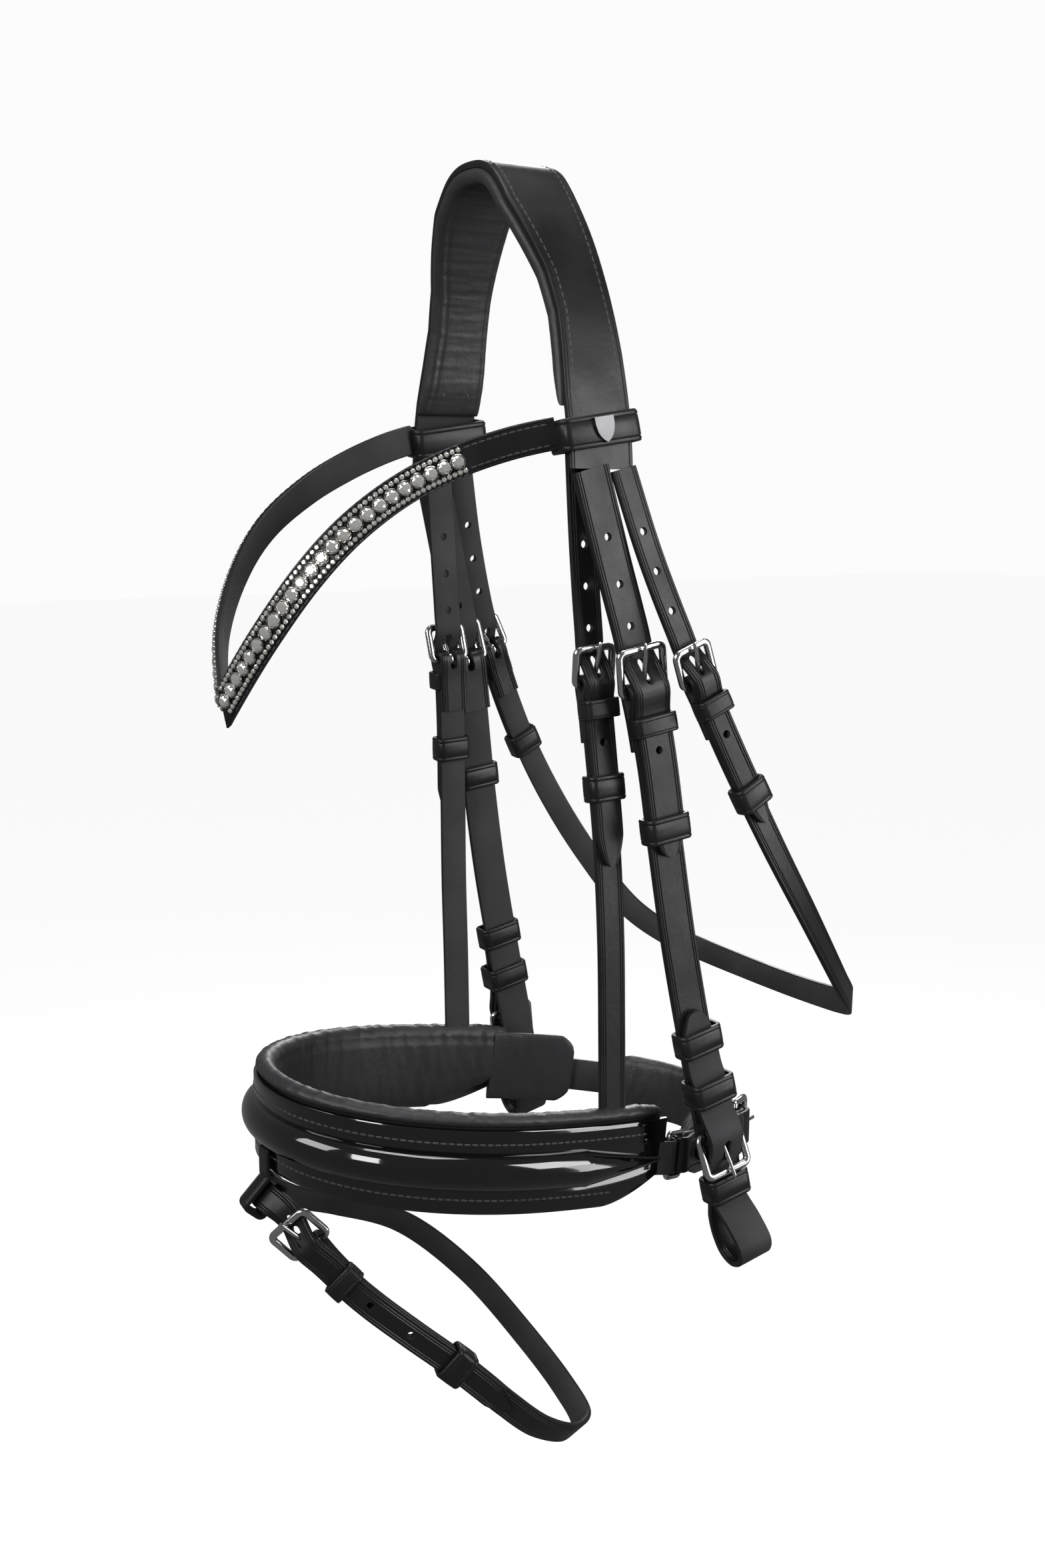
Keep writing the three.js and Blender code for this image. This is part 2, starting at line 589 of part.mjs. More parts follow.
// Down from its top buckle, round the bit loop and up again under and over the bit-end buckle to its tip.
function cheekStrap(lift) {
  const s = (z) => cheekLine.atHeight(z);
  const bar = s(CHEEK_AT.bar);
  const bitBar = s(BIT_AT.bar + lift);
  const loop = s(BIT_AT.loop + lift) - LOOP_LENGTH;
  const ROUND = [[0, 0], [8, -2], [17.6, -1.5], [24.6, 1.8], [27.2, 7.4], [24.8, 13.8], [19, 16.4], [9.5, 11.4],
    [0, 3.6]];
  const path = [
    ...foldPath(bar, CHEEK, -1),
    [bar + 40, 0],
    [loop - 40, 0],
    ...ROUND.map(([along, n]) => [loop + along, n]),
    ...overPath(bitBar, BIT, 1, BIT_SEAT),
    [bitBar - 23, BIT_SEAT.layer],
    [bitBar - 30, CHEEK.thick + 0.5],
    [s(BIT_AT.tip + lift), CHEEK.thick + 0.5],
  ];
  const r = EYE_INNER + BIT.fold / 2;
  const fold = [[bitBar - 5, 0.9], ...roundBar(bitBar, BIT_SEAT.bar, r, 1), [bitBar - 7, 5], [bitBar - 14, 2.4],
    [bitBar - 23, 2.1]];
  const floor = CHEEK.thick / 2 + 0.2;
  return strap(cheekLine, path, CHEEK, TIP_LENGTH)
    .subtract(foldSlot(cheekLine, bar, CHEEK, -1))
    .subtract(tongueSlot(cheekLine, bitBar, BIT, 1, BIT_SEAT, floor))
    .add(strap(cheekLine, fold, { width: 15, thick: BIT.fold }))
    .subtract(foldSlot(cheekLine, bitBar, BIT, 1, BIT_SEAT.bar, 0.4))
    .add(keeper(cheekLine, s(CHEEK_AT.keeper), CHEEK));
}

for (const side of SIDES) {
  addBuckled("cheek", cheekLine, CHEEK, CHEEK_AT, side, cheekLine.atHeight(CROWN.splitZ + 2.5));
  addMesh("cheek_strap", cheekStrap(side.lift), LEATHER, side);
  const s = (z) => cheekLine.atHeight(z + side.lift);
  addMesh("bit_buckle", buckleFrame(cheekLine, s(BIT_AT.bar), BIT, 1, BIT_SEAT), STEEL, side);
  addMesh("bit_tongue", tongue(cheekLine, s(BIT_AT.bar), BIT, 1, BIT_SEAT), STEEL, side);
  const width = CHEEK.width + 2 * GAP;
  const low = -CHEEK.thick / 2 - GAP;
  addMesh("bit_keeper_lower", band(cheekLine, s(BIT_AT.lower), width, low, 6.1), LEATHER, side);
  addMesh("bit_keeper_upper", band(cheekLine, s(BIT_AT.upper), width, low, 8.6), LEATHER, side);
  addMesh("bit_runner", band(cheekLine, s(BIT_AT.runner), width, low, 5.5), LEATHER, side);
}

// ---- Noseband hangers ----------------------------------------------------------------------------------

for (const side of SIDES) {
  const s = (z) => hangerLine.atHeight(z);
  addBuckled("hanger", hangerLine, HANGER, HANGER_AT, side, s(HANGER_AT.top));
  const bar = s(HANGER_AT.bar);
  const path = [...foldPath(bar, HANGER, -1), [bar + 60, 0], [s(HANGER_AT.end), 0]];
  const hanger = strap(hangerLine, path, HANGER)
    .subtract(foldSlot(hangerLine, bar, HANGER, -1))
    .add(keeper(hangerLine, s(HANGER_AT.keeper), HANGER));
  addMesh("hanger_strap", hanger, LEATHER, side);
}

// ---- Throatlatch ---------------------------------------------------------------------------------------

const throatAt = (z) => throatLine.atHeight(z, 0, throatLine.length / 2);
for (const side of SIDES) addBuckled("throat", throatLine, THROAT, THROAT_AT, side, throatAt(CROWN.splitZ + 2.5));

const throatBar = throatAt(THROAT_AT.bar);
const nearFold = foldPath(throatBar, THROAT, -1);
const farFold = nearFold.map(([s, n]) => [throatLine.length - s, n]).reverse();
const throatPath = [...nearFold, [throatBar + 60, 0], [throatLine.length / 2, 0], [throatLine.length - throatBar - 60, 0],
  ...farFold];
const throatEye = foldSlot(throatLine, throatBar, THROAT, -1);
const throatKeeper = keeper(throatLine, throatAt(THROAT_AT.keeper), THROAT);
const throatlatch = strap(throatLine, throatPath, THROAT)
  .subtract(throatEye)
  .subtract(mirrored(throatEye))
  .add(throatKeeper)
  .add(mirrored(throatKeeper));
addMesh("throatlatch_strap", throatlatch, LEATHER);

// ---- Noseband ------------------------------------------------------------------------------------------

const HALF_HEIGHT = NOSEBAND.height / 2;
const BEAD = [[0, 1], [0.38, 0.9], [0.7, 0.64], [0.92, 0.3]]; // share of half width, share of rise
const beadPoint = (side) => ([x, y]) => [side * x * NOSEBAND.beadHalf, NOSEBAND.thick / 2 + y * NOSEBAND.beadRise];
const shellOutline = [
  [-HALF_HEIGHT, -NOSEBAND.thick / 2],
  [HALF_HEIGHT, -NOSEBAND.thick / 2],
  [HALF_HEIGHT, NOSEBAND.thick / 2],
  [NOSEBAND.beadHalf, NOSEBAND.thick / 2],
  ...BEAD.slice(1).reverse().map(beadPoint(1)),
  ...BEAD.map(beadPoint(-1)),
  [-NOSEBAND.beadHalf, NOSEBAND.thick / 2],
  [-HALF_HEIGHT, NOSEBAND.thick / 2],
];
const shellSection = new THREE.Shape(shellOutline.map(([x, y]) => new THREE.Vector2(x, y)));

// Towards both ends the bead fades and the lower edge sweeps up.
function shellEnds(at, total, x, y) {
  const left = Math.min(at.distance, total - at.distance);
  const bead = Math.min(1, 0.06 + left / 48);
  const flat = NOSEBAND.thick / 2;
  const raised = y > flat + 0.01;
  const lift = 13 * Math.max(0, 1 - left / 34) ** 1.5;
  if (raised || (Math.abs(x) < HALF_HEIGHT && y > 0)) return [x * bead, raised ? flat + (y - flat) * bead : y];
  return [x > 0 ? x - lift : x, y];
}

const ringS = nosebandAt(NOSEBAND.ringY);
const TAB = { width: 15, thick: 1.6 };
const tabPath = [[ringS + 14, 0], [ringS + 8, 0.3], [ringS + 4, 1.9], ...roundBar(ringS, 0, EYE_INNER + 0.8, -1).reverse(),
  [ringS + 5, -2.6]];
const tab = strap(nosebandLine, tabPath, TAB);
const shellStart = nosebandAt(NOSEBAND.shellEndY);
const shellPath = [[shellStart, 0], [nosebandLine.length / 2, 0], [nosebandLine.length - shellStart, 0]];
const shell = sweep(nosebandLine, shellPath, shellSection, shellEnds, [8, 16, 24, 36, 48, -8, -16, -24, -36, -48]);
addMesh("noseband_shell", shell.add(tab).add(mirrored(tab)), PATENT);

// Across the band: down is positive. The roll at the top stands above the shell.
const PADDING = [[17, -1.9], [17.8, -4], [15.5, -7.2], [8, -9], [-10, -9.2], [-20, -8.2], [-23.5, -5.4], [-23.4, -1.8],
  [-21.2, 0.3], [-19.2, -0.5], [-18.2, -1.9]];
const paddingSection = new THREE.Shape(PADDING.map(([x, y]) => new THREE.Vector2(x, y)));
const FLAP = { width: 34, thick: 3.6, up: 4 };

function paddingEnds(at, total, x, y) {
  const left = Math.min(at.distance, total - at.distance);
  const k = Math.min(1, 0.5 + 0.5 * Math.sqrt(left / 12));
  const top = -HALF_HEIGHT - 1.2;
  if (x < top) return [top + (x - top) * k, -1.9 + (y + 1.9) * k];
  return [x > 0 ? x * (0.08 + 0.92 * Math.min(1, left / 40)) : x, -1.9 + (y + 1.9) * k];
}

const padStart = nosebandAt(NOSEBAND.shellEndY - 1.5);
const paddingPath = [[padStart, 0], [nosebandLine.length / 2, 0], [nosebandLine.length - padStart, 0]];
const farLength = (y) => nosebandLine.length - nosebandAt(y);
const flapPath = [[farLength(29), -6.9], [farLength(50), -6.9], [farLength(71), -6.9]];
const flap = sweep(nosebandLine, flapPath, rectangle(FLAP.width, FLAP.thick, -FLAP.up));
const pocket = sweep(
  hangerLine,
  [[hangerLine.atHeight(-376), 0.9], [hangerLine.atHeight(HANGER_AT.end) + GAP, 0.9]],
  rectangle(HANGER.width + 1.2, 5.4),
);
const padding = sweep(nosebandLine, paddingPath, paddingSection, paddingEnds, [4, 12, 20, 30, -4, -12, -20, -30])
  .subtract(pocket)
  .subtract(mirrored(pocket))
  .add(flap);
addMesh("noseband_padding", padding, LINING);

// A square ring whose front bar is held by the shell and whose rear bar is held by the chin strap.
const RING = { inside: 17.2, bars: 8.6, thick: 2.6 };

const ringMiddle = jawLine.where("y", NOSEBAND.ringY, jawLine.length / 2) - RING.bars / 2;
for (const side of SIDES) {
  const outline = rectangle(RING.inside + 2 * RING.thick, RING.bars + RING.thick);
  const hole = rectangle(RING.inside, RING.bars - RING.thick);
  outline.holes.push(new THREE.Path(hole.getPoints().reverse()));
  const ring = new THREE.ExtrudeGeometry(outline, { depth: RING.thick, bevelEnabled: false });
  ring.translate(0, 0, -RING.thick / 2).rotateX(Math.PI / 2);
  addMesh("chin_ring", placed(ring, matrixAt(jawLine, ringMiddle, 0)), STEEL, side);
}

// ---- Chin strap ----------------------------------------------------------------------------------------

const chinSeat = flatSeat(CHIN);
const CHIN_FLAT = 0.66; // where the strap lies flat, as a share of the way to its ring
const chinBar = jawAt(CHIN_AT.bar);
const nearRingBar = ringMiddle - RING.bars / 2;
const farRingBar = jawLine.length - nearRingBar;

const chinPath = [
  ...foldPath(chinBar, CHIN, -1, 0, 17),
  [chinBar + (nearRingBar - chinBar) * CHIN_FLAT, 0],
  ...foldPath(nearRingBar, CHIN, 1, 0, 14).reverse(),
];
const chinStrap = strap(jawLine, chinPath, CHIN)
  .subtract(foldSlot(jawLine, chinBar, CHIN, -1))
  .add(keeper(jawLine, jawAt(CHIN_AT.keeper), CHIN));
addMesh("chin_strap", chinStrap, LEATHER);

const jawBack = jawLine.length / 2;
const chinBilletPath = [
  ...foldPath(farRingBar, CHIN, -1, 0, 14),
  [farRingBar + 30, -2.2],
  [jawBack - 20, -2.4],
  [chinBar - 40, -2.2],
  ...overPath(chinBar, CHIN, -1, chinSeat),
  [jawAt(CHIN_AT.tip), chinSeat.layer + 0.3],
];
const chinBillet = strap(jawLine, chinBilletPath, CHIN, TIP_LENGTH).subtract(
  tongueSlot(jawLine, chinBar, CHIN, -1, chinSeat),
);
addMesh("chin_billet", punched(chinBillet, jawLine, [[chinBar - 34, -2], [jawAt(CHIN_AT.hole), chinSeat.layer]]), LEATHER);
addMesh("chin_buckle", buckleFrame(jawLine, chinBar, CHIN, -1, chinSeat), STEEL);
addMesh("chin_tongue", tongue(jawLine, chinBar, CHIN, -1, chinSeat), STEEL);

const CHIN_PAD = [[13, 0], [15, -2.5], [13.5, -6], [6, -7.5], [-6, -7.5], [-13.5, -6], [-15, -2.5], [-13, 0]];
const chinPadSection = new THREE.Shape(CHIN_PAD.map(([x, y]) => new THREE.Vector2(x, y)));
const chinPadTop = -4.3;

function chinPadEnds(at, total, x, y) {
  const left = Math.min(at.distance, total - at.distance);
  const k = Math.min(1, 0.45 + 0.55 * Math.sqrt(left / 14));
  return [x * k, chinPadTop + y * k];
}

const chinPadPath = [[jawLine.length - jawAt(86), 0], [jawBack, 0], [jawAt(60), 0]];
addMesh("chin_pad", sweep(jawLine, chinPadPath, chinPadSection, chinPadEnds, [2, 6, 14, -2, -6, -14]), LINING);

// ---- Flash ---------------------------------------------------------------------------------------------

const FLASH_SEAT = { bar: -FLASH.thick - 0.4, under: -2, layer: 0 };
const flashBar = flashFirst(FLASH_AT.bar);
const secondBar = flashSecond(FLASH_AT.bar);
const flashMiddle = (flashBar + secondBar) / 2;
const tabS = flashLine.where("x", 0, 0, flashLine.length * 0.4);

const flashPath = [
  [flashFirst(FLASH_AT.tip), 0],
  [flashFirst(FLASH_AT.runner), 0],
  ...overPath(flashBar, FLASH, 1, FLASH_SEAT).reverse(),
  [tabS, 0],
  [flashMiddle - 60, 0],
  [flashMiddle + 40, FLASH_SEAT.bar * 0.6],
  [flashSecond(FLASH_AT.tip) - 20, FLASH_SEAT.bar],
  [flashSecond(FLASH_AT.runner), FLASH_SEAT.bar],
  ...foldPath(secondBar, FLASH, 1, FLASH_SEAT.bar, 22).reverse(),
];
const flashHoles = FLASH_AT.holes.map((z) => [flashFirst(z), 0]);
const flashStrap = punched(strap(flashLine, flashPath, FLASH, -TIP_LENGTH), flashLine, flashHoles)
  .subtract(tongueSlot(flashLine, flashBar, FLASH, 1, FLASH_SEAT))
  .subtract(foldSlot(flashLine, flashBar, FLASH, 1, FLASH_SEAT.bar, -11))
  .add(keeper(flashLine, flashFirst(FLASH_AT.keeper), FLASH, FLASH_SEAT.bar));
addMesh("flash_strap", flashStrap, LEATHER);
addMesh("flash_buckle", buckleFrame(flashLine, flashBar, FLASH, 1, FLASH_SEAT), STEEL);
addMesh("flash_tongue", tongue(flashLine, flashBar, FLASH, 1, FLASH_SEAT), STEEL);
const flashLow = FLASH_SEAT.bar - FLASH.thick / 2 - 3 * GAP;
const flashHigh = FLASH.thick / 2 + 2 * GAP;
const flashWidth = FLASH.width + 2 * GAP;
addMesh("flash_runner", band(flashLine, flashFirst(FLASH_AT.runner), flashWidth, flashLow, flashHigh), LEATHER);

// The tab: a loop round the flash strap and a tongue of leather sewn to the noseband under its bead.
const tabLoop = band(flashLine, tabS, FLASH.width + 3.2, -4.8, 3.7, 7.6, 2);
const tabPlate = new THREE.BoxGeometry(9, 2, 13).translate(0, FLASH_TAB.y, FLASH_TAB.z);
addMesh("flash_tab", tabLoop.add(solidOf(tabPlate)), LEATHER);

export default bridle;
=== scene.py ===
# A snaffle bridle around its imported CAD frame. Routes are in millimetres, as in part.mjs, meshes in metres.
import math
import bmesh
import bpy
import numpy as np
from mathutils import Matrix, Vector


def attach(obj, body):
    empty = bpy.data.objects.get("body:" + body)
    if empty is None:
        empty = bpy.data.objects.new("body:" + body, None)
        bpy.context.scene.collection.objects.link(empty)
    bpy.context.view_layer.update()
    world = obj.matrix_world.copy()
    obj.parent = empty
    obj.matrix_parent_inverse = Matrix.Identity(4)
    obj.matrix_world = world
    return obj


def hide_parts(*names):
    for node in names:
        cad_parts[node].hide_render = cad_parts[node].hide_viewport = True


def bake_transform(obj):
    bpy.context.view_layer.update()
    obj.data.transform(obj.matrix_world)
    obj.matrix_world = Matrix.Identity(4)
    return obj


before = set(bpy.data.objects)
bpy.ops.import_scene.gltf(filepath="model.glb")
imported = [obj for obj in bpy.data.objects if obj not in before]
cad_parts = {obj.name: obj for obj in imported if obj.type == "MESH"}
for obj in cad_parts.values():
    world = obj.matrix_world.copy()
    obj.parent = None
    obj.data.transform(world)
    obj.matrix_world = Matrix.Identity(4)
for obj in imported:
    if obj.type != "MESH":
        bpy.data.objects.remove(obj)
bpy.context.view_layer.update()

MM = 0.001
NEAR, FAR = ("near", False), ("far", True)
SIDES = (NEAR, FAR)

# ---- Camera ----

camera_data = bpy.data.cameras.new("camera")
camera_data.sensor_fit = "VERTICAL"
camera_data.sensor_height = 36
camera_data.lens = 40.71
camera_data.clip_end = 60
camera = bpy.data.objects.new("camera", camera_data)
bpy.context.scene.collection.objects.link(camera)
PITCH = math.radians(9.6)
heading = Vector((-0.8572 * math.cos(PITCH), 0.5150 * math.cos(PITCH), -math.sin(PITCH)))
camera.rotation_euler = heading.to_track_quat("-Z", "Y").to_euler()
camera.location = (0.66925, -0.39346, -0.122)
bpy.context.scene.camera = camera

# ---- Dimensions of part.mjs ----

GAP = 0.35
HOLE_RADIUS = 1.7
RUNNER_LENGTH, RUNNER_WALL = 11, 1.8
KEEPER_LENGTH, KEEPER_WALL = 8, 1.5
TIP_LENGTH = 13
CROWN_THICK, PAD_THICK, SPLIT_Z, PAD_END_Z = 3, 6.5, -116, -90.5
BAR_HALF, TONGUE_RADIUS, RAIL, EYE_INNER, EYE_OUTER = 1.3, 1.1, 3.2, 2.2, 3.2


class Size:
    def __init__(self, width, thick, buckle=0, keeper_high=0, fold=None, play=1.2):
        self.width, self.thick, self.buckle, self.keeper_high = width, thick, buckle, keeper_high
        self.fold, self.play = fold or thick, play


class Seat:
    def __init__(self, bar, under, layer):
        self.bar, self.under, self.layer = bar, under, layer


CHEEK = Size(17, 2.7, 20, 5.9)
BIT = Size(17, 2.7, 20, fold=2.2)
HANGER = Size(13, 2.3, 17, 5.9)
THROAT = Size(12, 2.4, 17, 6.1)
FLASH = Size(12, 2.4, 17, 5, play=3.8)
CHIN = Size(16, 2.2, 17, 4.8)
CHEEK_AT = dict(bar=-206, keeper=-219.5, runner=-263, tip=-275, holes=[-143, -162, -179, -230])
HANGER_AT = dict(top=-103, end=-402, bar=-203, keeper=-213, runner=-246, tip=-279,
    holes=[-146, -163, -180, -227])
THROAT_AT = dict(bar=-202, keeper=-212, runner=-250, tip=-262, holes=[-141, -157, -173, -224])
BIT_AT = dict(bar=-397.5, lower=-423.5, loop=-456, upper=-378.5, runner=-356.5, tip=-343)
CHIN_AT = dict(bar=105, keeper=92, hole=78, tip=60)
FLASH_AT = dict(bar=-440, keeper=-454.5, runner=-494, tip=-520.6, holes=[-428, -464, -478])
FAR_BIT_LIFT = 11
NOSE = dict(half=74.4, front=96, rear=138, centre=-20, top=-386, slope=-0.136, full=2.15, height=36,
    thick=2.6)
SHELL_END_Y, RING_Y = 38, 42

# ---- Lines: routes in space with an outward direction ----


def unit(v):
    return v / np.maximum(np.linalg.norm(v, axis=-1, keepdims=True), 1e-12)


def catmull(points, per_span):
    """A centripetal Catmull-Rom curve through the points."""
    p = np.asarray(points, float)
    p = np.vstack([2 * p[0] - p[1], p, 2 * p[-1] - p[-2]])
    out = []
    for i in range(1, len(p) - 2):
        a, b, c, d = p[i - 1 : i + 3]
        dt = [max(np.sum((v - u) ** 2) ** 0.25, 1e-4) for u, v in ((a, b), (b, c), (c, d))]
        t1 = ((b - a) / dt[0] - (c - a) / (dt[0] + dt[1]) + (c - b) / dt[1]) * dt[1]
        t2 = ((c - b) / dt[1] - (d - b) / (dt[1] + dt[2]) + (d - c) / dt[2]) * dt[1]
        w = np.linspace(0, 1, per_span, endpoint=False)[:, None]
        out.append(b + t1 * w + (-3 * b + 3 * c - 2 * t1 - t2) * w**2 + (2 * b - 2 * c + t1 + t2) * w**3)
    out.append(p[-2][None])
    return np.vstack(out)


def lengths(points):
    return np.concatenate([[0], np.cumsum(np.linalg.norm(np.diff(points, axis=0), axis=1))])


class Line:
    def __init__(self, points, outward):
        self.p = catmull(points, max(24, 5000 // len(points)))
        self.s = lengths(self.p)
        self.length = self.s[-1]
        self.t = unit(np.gradient(self.p, self.s, axis=0))
        self.outward = outward
        self.lowest = self.s[np.argmin(self.p[:, 2])]

    def frames(self, s):
        s = np.atleast_1d(np.asarray(s, float))
        c = np.clip(s, 0, self.length)
        t = unit(np.stack([np.interp(c, self.s, self.t[:, k]) for k in range(3)], 1))
        p = np.stack([np.interp(c, self.s, self.p[:, k]) for k in range(3)], 1) + t * (s - c)[:, None]
        n = self.outward(p)
        n = unit(n - t * np.sum(n * t, 1, keepdims=True))
        return p, t, n, np.cross(n, t)

    def where(self, axis, value, start=0.0, end=None):
        end = self.length if end is None else end
        at = lambda s: np.interp(s, self.s, self.p[:, axis])
        falls = at(start) > at(end)
        low, high = start, end
        for _ in range(40):
            middle = (low + high) / 2
            if (at(middle) > value) == falls:
                low = middle
            else:
                high = middle
        return low

    def at_height(self, z, start=0.0, end=None):
        return self.where(2, z, start, end)


def out_x(p):
    return np.tile([1.0, 0, 0], (len(p), 1))


cheek_line = Line([[67, -1, -113], [69.7, 8.3, -150], [73.2, 18.5, -190], [76.5, 25.6, -230],
    [78.4, 31, -270],
    [79.6, 37.2, -310], [80.6, 45, -350], [81.8, 53.6, -390], [83.1, 62.1, -430], [84.3, 70.2, -466]],
    out_x)
hanger_line = Line([[60.2, -1.5, -98], [60, 1.6, -150], [60.9, 4.5, -190], [63.4, 7.5, -230],
    [66.6, 9.6, -270],
    [68.4, 10.8, -310], [68.4, 11.7, -350], [68.3, 12.4, -404]], out_x)
THROAT_SIDE = [[67, 14.6, -113], [74.6, 24, -150], [83, 37.5, -190], [89, 54.4, -230], [92, 75.4, -270],
    [90.6, 101, -310], [83.5, 125, -342], [72, 141, -356], [55, 151, -362], [30, 158, -366]]
throat_line = Line(THROAT_SIDE + [[0, 160.5, -367.5]] + [[-x, y, z] for x, y, z in THROAT_SIDE[::-1]],
    lambda p: np.stack([p[:, 0], np.maximum(0, p[:, 1] - 60) * 0.9, 0 * p[:, 0]], 1))
CROWN_SIDE = [[10, 0, 7.4], [18, 0, 3.9], [26, 0, -3.7], [34, 0, -13.9], [41, 0, -24.6], [48, 0, -38],
    [54, 0, -54], [58.5, 0, -70],
    [62.4, 0, -86], [65.2, 0, -100], [67, 0, -120]]
crown_line = Line([[-x, y, z] for x, y, z in CROWN_SIDE[::-1]] + [[0, 0,
    CROWN_THICK / 2 + GAP + PAD_THICK]] + CROWN_SIDE,
    lambda p: np.stack([p[:, 0], 0 * p[:, 0], p[:, 2] + 130], 1))
loop_line = Line([[64.1, 3.9, -94], [66.9, 7.3, -118]], out_x)


def browband_out(p):
    k = np.clip((-14 - p[:, 1]) / 117, 0, 1)
    return np.stack([1 - 0.4 * k, -0.85 * k, 0 * k], 1)


browband_line = Line([[66, -6, -101], [62, -14, -102.3], [54.5, -31, -106.5], [48, -52, -114],
    [44, -73, -124.5],
    [40.5, -93.5, -139.5], [34, -108.6, -157], [21.5, -122.7, -182], [0, -131, -209.5], [-11, -134, -223]],
    browband_out)


def nose_point(angle):
    c, s = math.cos(angle), math.sin(angle)
    power = 2 / NOSE["full"]
    reach = NOSE["front"] if s < 0 else NOSE["rear"]
    x = math.copysign(abs(c) ** power, c) * NOSE["half"]
    y = math.copysign(abs(s) ** power, s) * reach
    return [x, y + NOSE["centre"], NOSE["top"] + NOSE["slope"] * y - NOSE["height"] / 2]


def nose_out(p):
    y = p[:, 1] - NOSE["centre"]
    reach = np.where(y < 0, NOSE["front"], NOSE["rear"])
    return np.stack([p[:, 0] / NOSE["half"] ** 2, y / reach**2, 0 * y], 1)


def nose_arc(start, end, steps):
    return [nose_point(start + (end - start) * i / steps) for i in range(steps + 1)]


nose_line = Line(nose_arc(math.pi / 2 - 0.01, -1.5 * math.pi + 0.01, 96), nose_out)
jaw_line = Line(nose_arc(math.pi - 0.2, 0.2, 48), nose_out)


def nose_at(y):
    return nose_line.where(1, y, 0, nose_line.length / 2)


def jaw_at(y):
    return jaw_line.where(1, y, jaw_line.length / 2)


FLASH_NEAR = [[50, -28, -520.6], [51, -40, -508], [50, -54, -494], [42, -72, -478], [35, -86.6, -464.5],
    [28, -96, -454.5], [18, -108, -438.5]]
flash_line = Line([[47, -8, -539]] + FLASH_NEAR + [[9.5, -117, -423.5], [0, -120.3, -419.5],
    [-12, -115, -421.5],
    [-26, -96, -436], [-35, -66, -450], [-35, -35, -465], [-23, -8, -490], [-5, 13, -520], [13, 24, -541],
    [28, 25, -551], [40, 12, -550], [47, -8, -539]] + FLASH_NEAR + [[9.5, -117, -423.5],
    [0, -120.3, -419.5]],
    lambda p: p - np.array([5.0, -45, -487]))


def flash_first(z):
    return flash_line.at_height(z, 0, flash_line.length * 0.3)


def flash_second(z):
    return flash_line.at_height(z, flash_line.lowest, flash_line.length)


# ---- Stations of a sweep ----


class Stations:
    """Places along a path of [s, n] points, s along the line and n out of it."""

    def __init__(self, line, path, turn=0.1, step=2.6, fine_ends=0.0):
        curve = catmull(path, 60)
        total = lengths(curve)[-1]
        count = max(8, int(total / 0.45))
        distance = np.linspace(0, total, count + 1)
        along_curve = lengths(curve)
        curve = np.stack([np.interp(distance, along_curve, curve[:, k]) for k in (0, 1)], 1)
        slope = unit(np.gradient(curve, distance, axis=0))
        p, t, n, b = line.frames(curve[:, 0])
        along = unit(t * slope[:, :1] + n * slope[:, 1:])
        out = unit(n * slope[:, :1] - t * slope[:, 1:])
        position = p + n * curve[:, 1:]
        keep = [0]
        for i in range(1, count):
            last = keep[-1]
            turned = max(np.linalg.norm(along[i] - along[last]), np.linalg.norm(b[i] - b[last]))
            moved = distance[i] - distance[last]
            end = min(distance[i], total - distance[i]) < fine_ends and moved > 0.8
            if end or turned > turn or moved > step:
                keep.append(i)
        keep.append(count)
        self.p, self.along, self.out, self.across = position[keep], along[keep], out[keep], b[keep]
        self.d, self.total = distance[keep], total

    def at(self, d):
        pick = lambda a: np.stack([np.interp(d, self.d, a[:, k]) for k in range(3)], 1)
        return pick(self.p), unit(pick(self.along)), unit(pick(self.out)), unit(pick(self.across))


# ---- Meshes ----


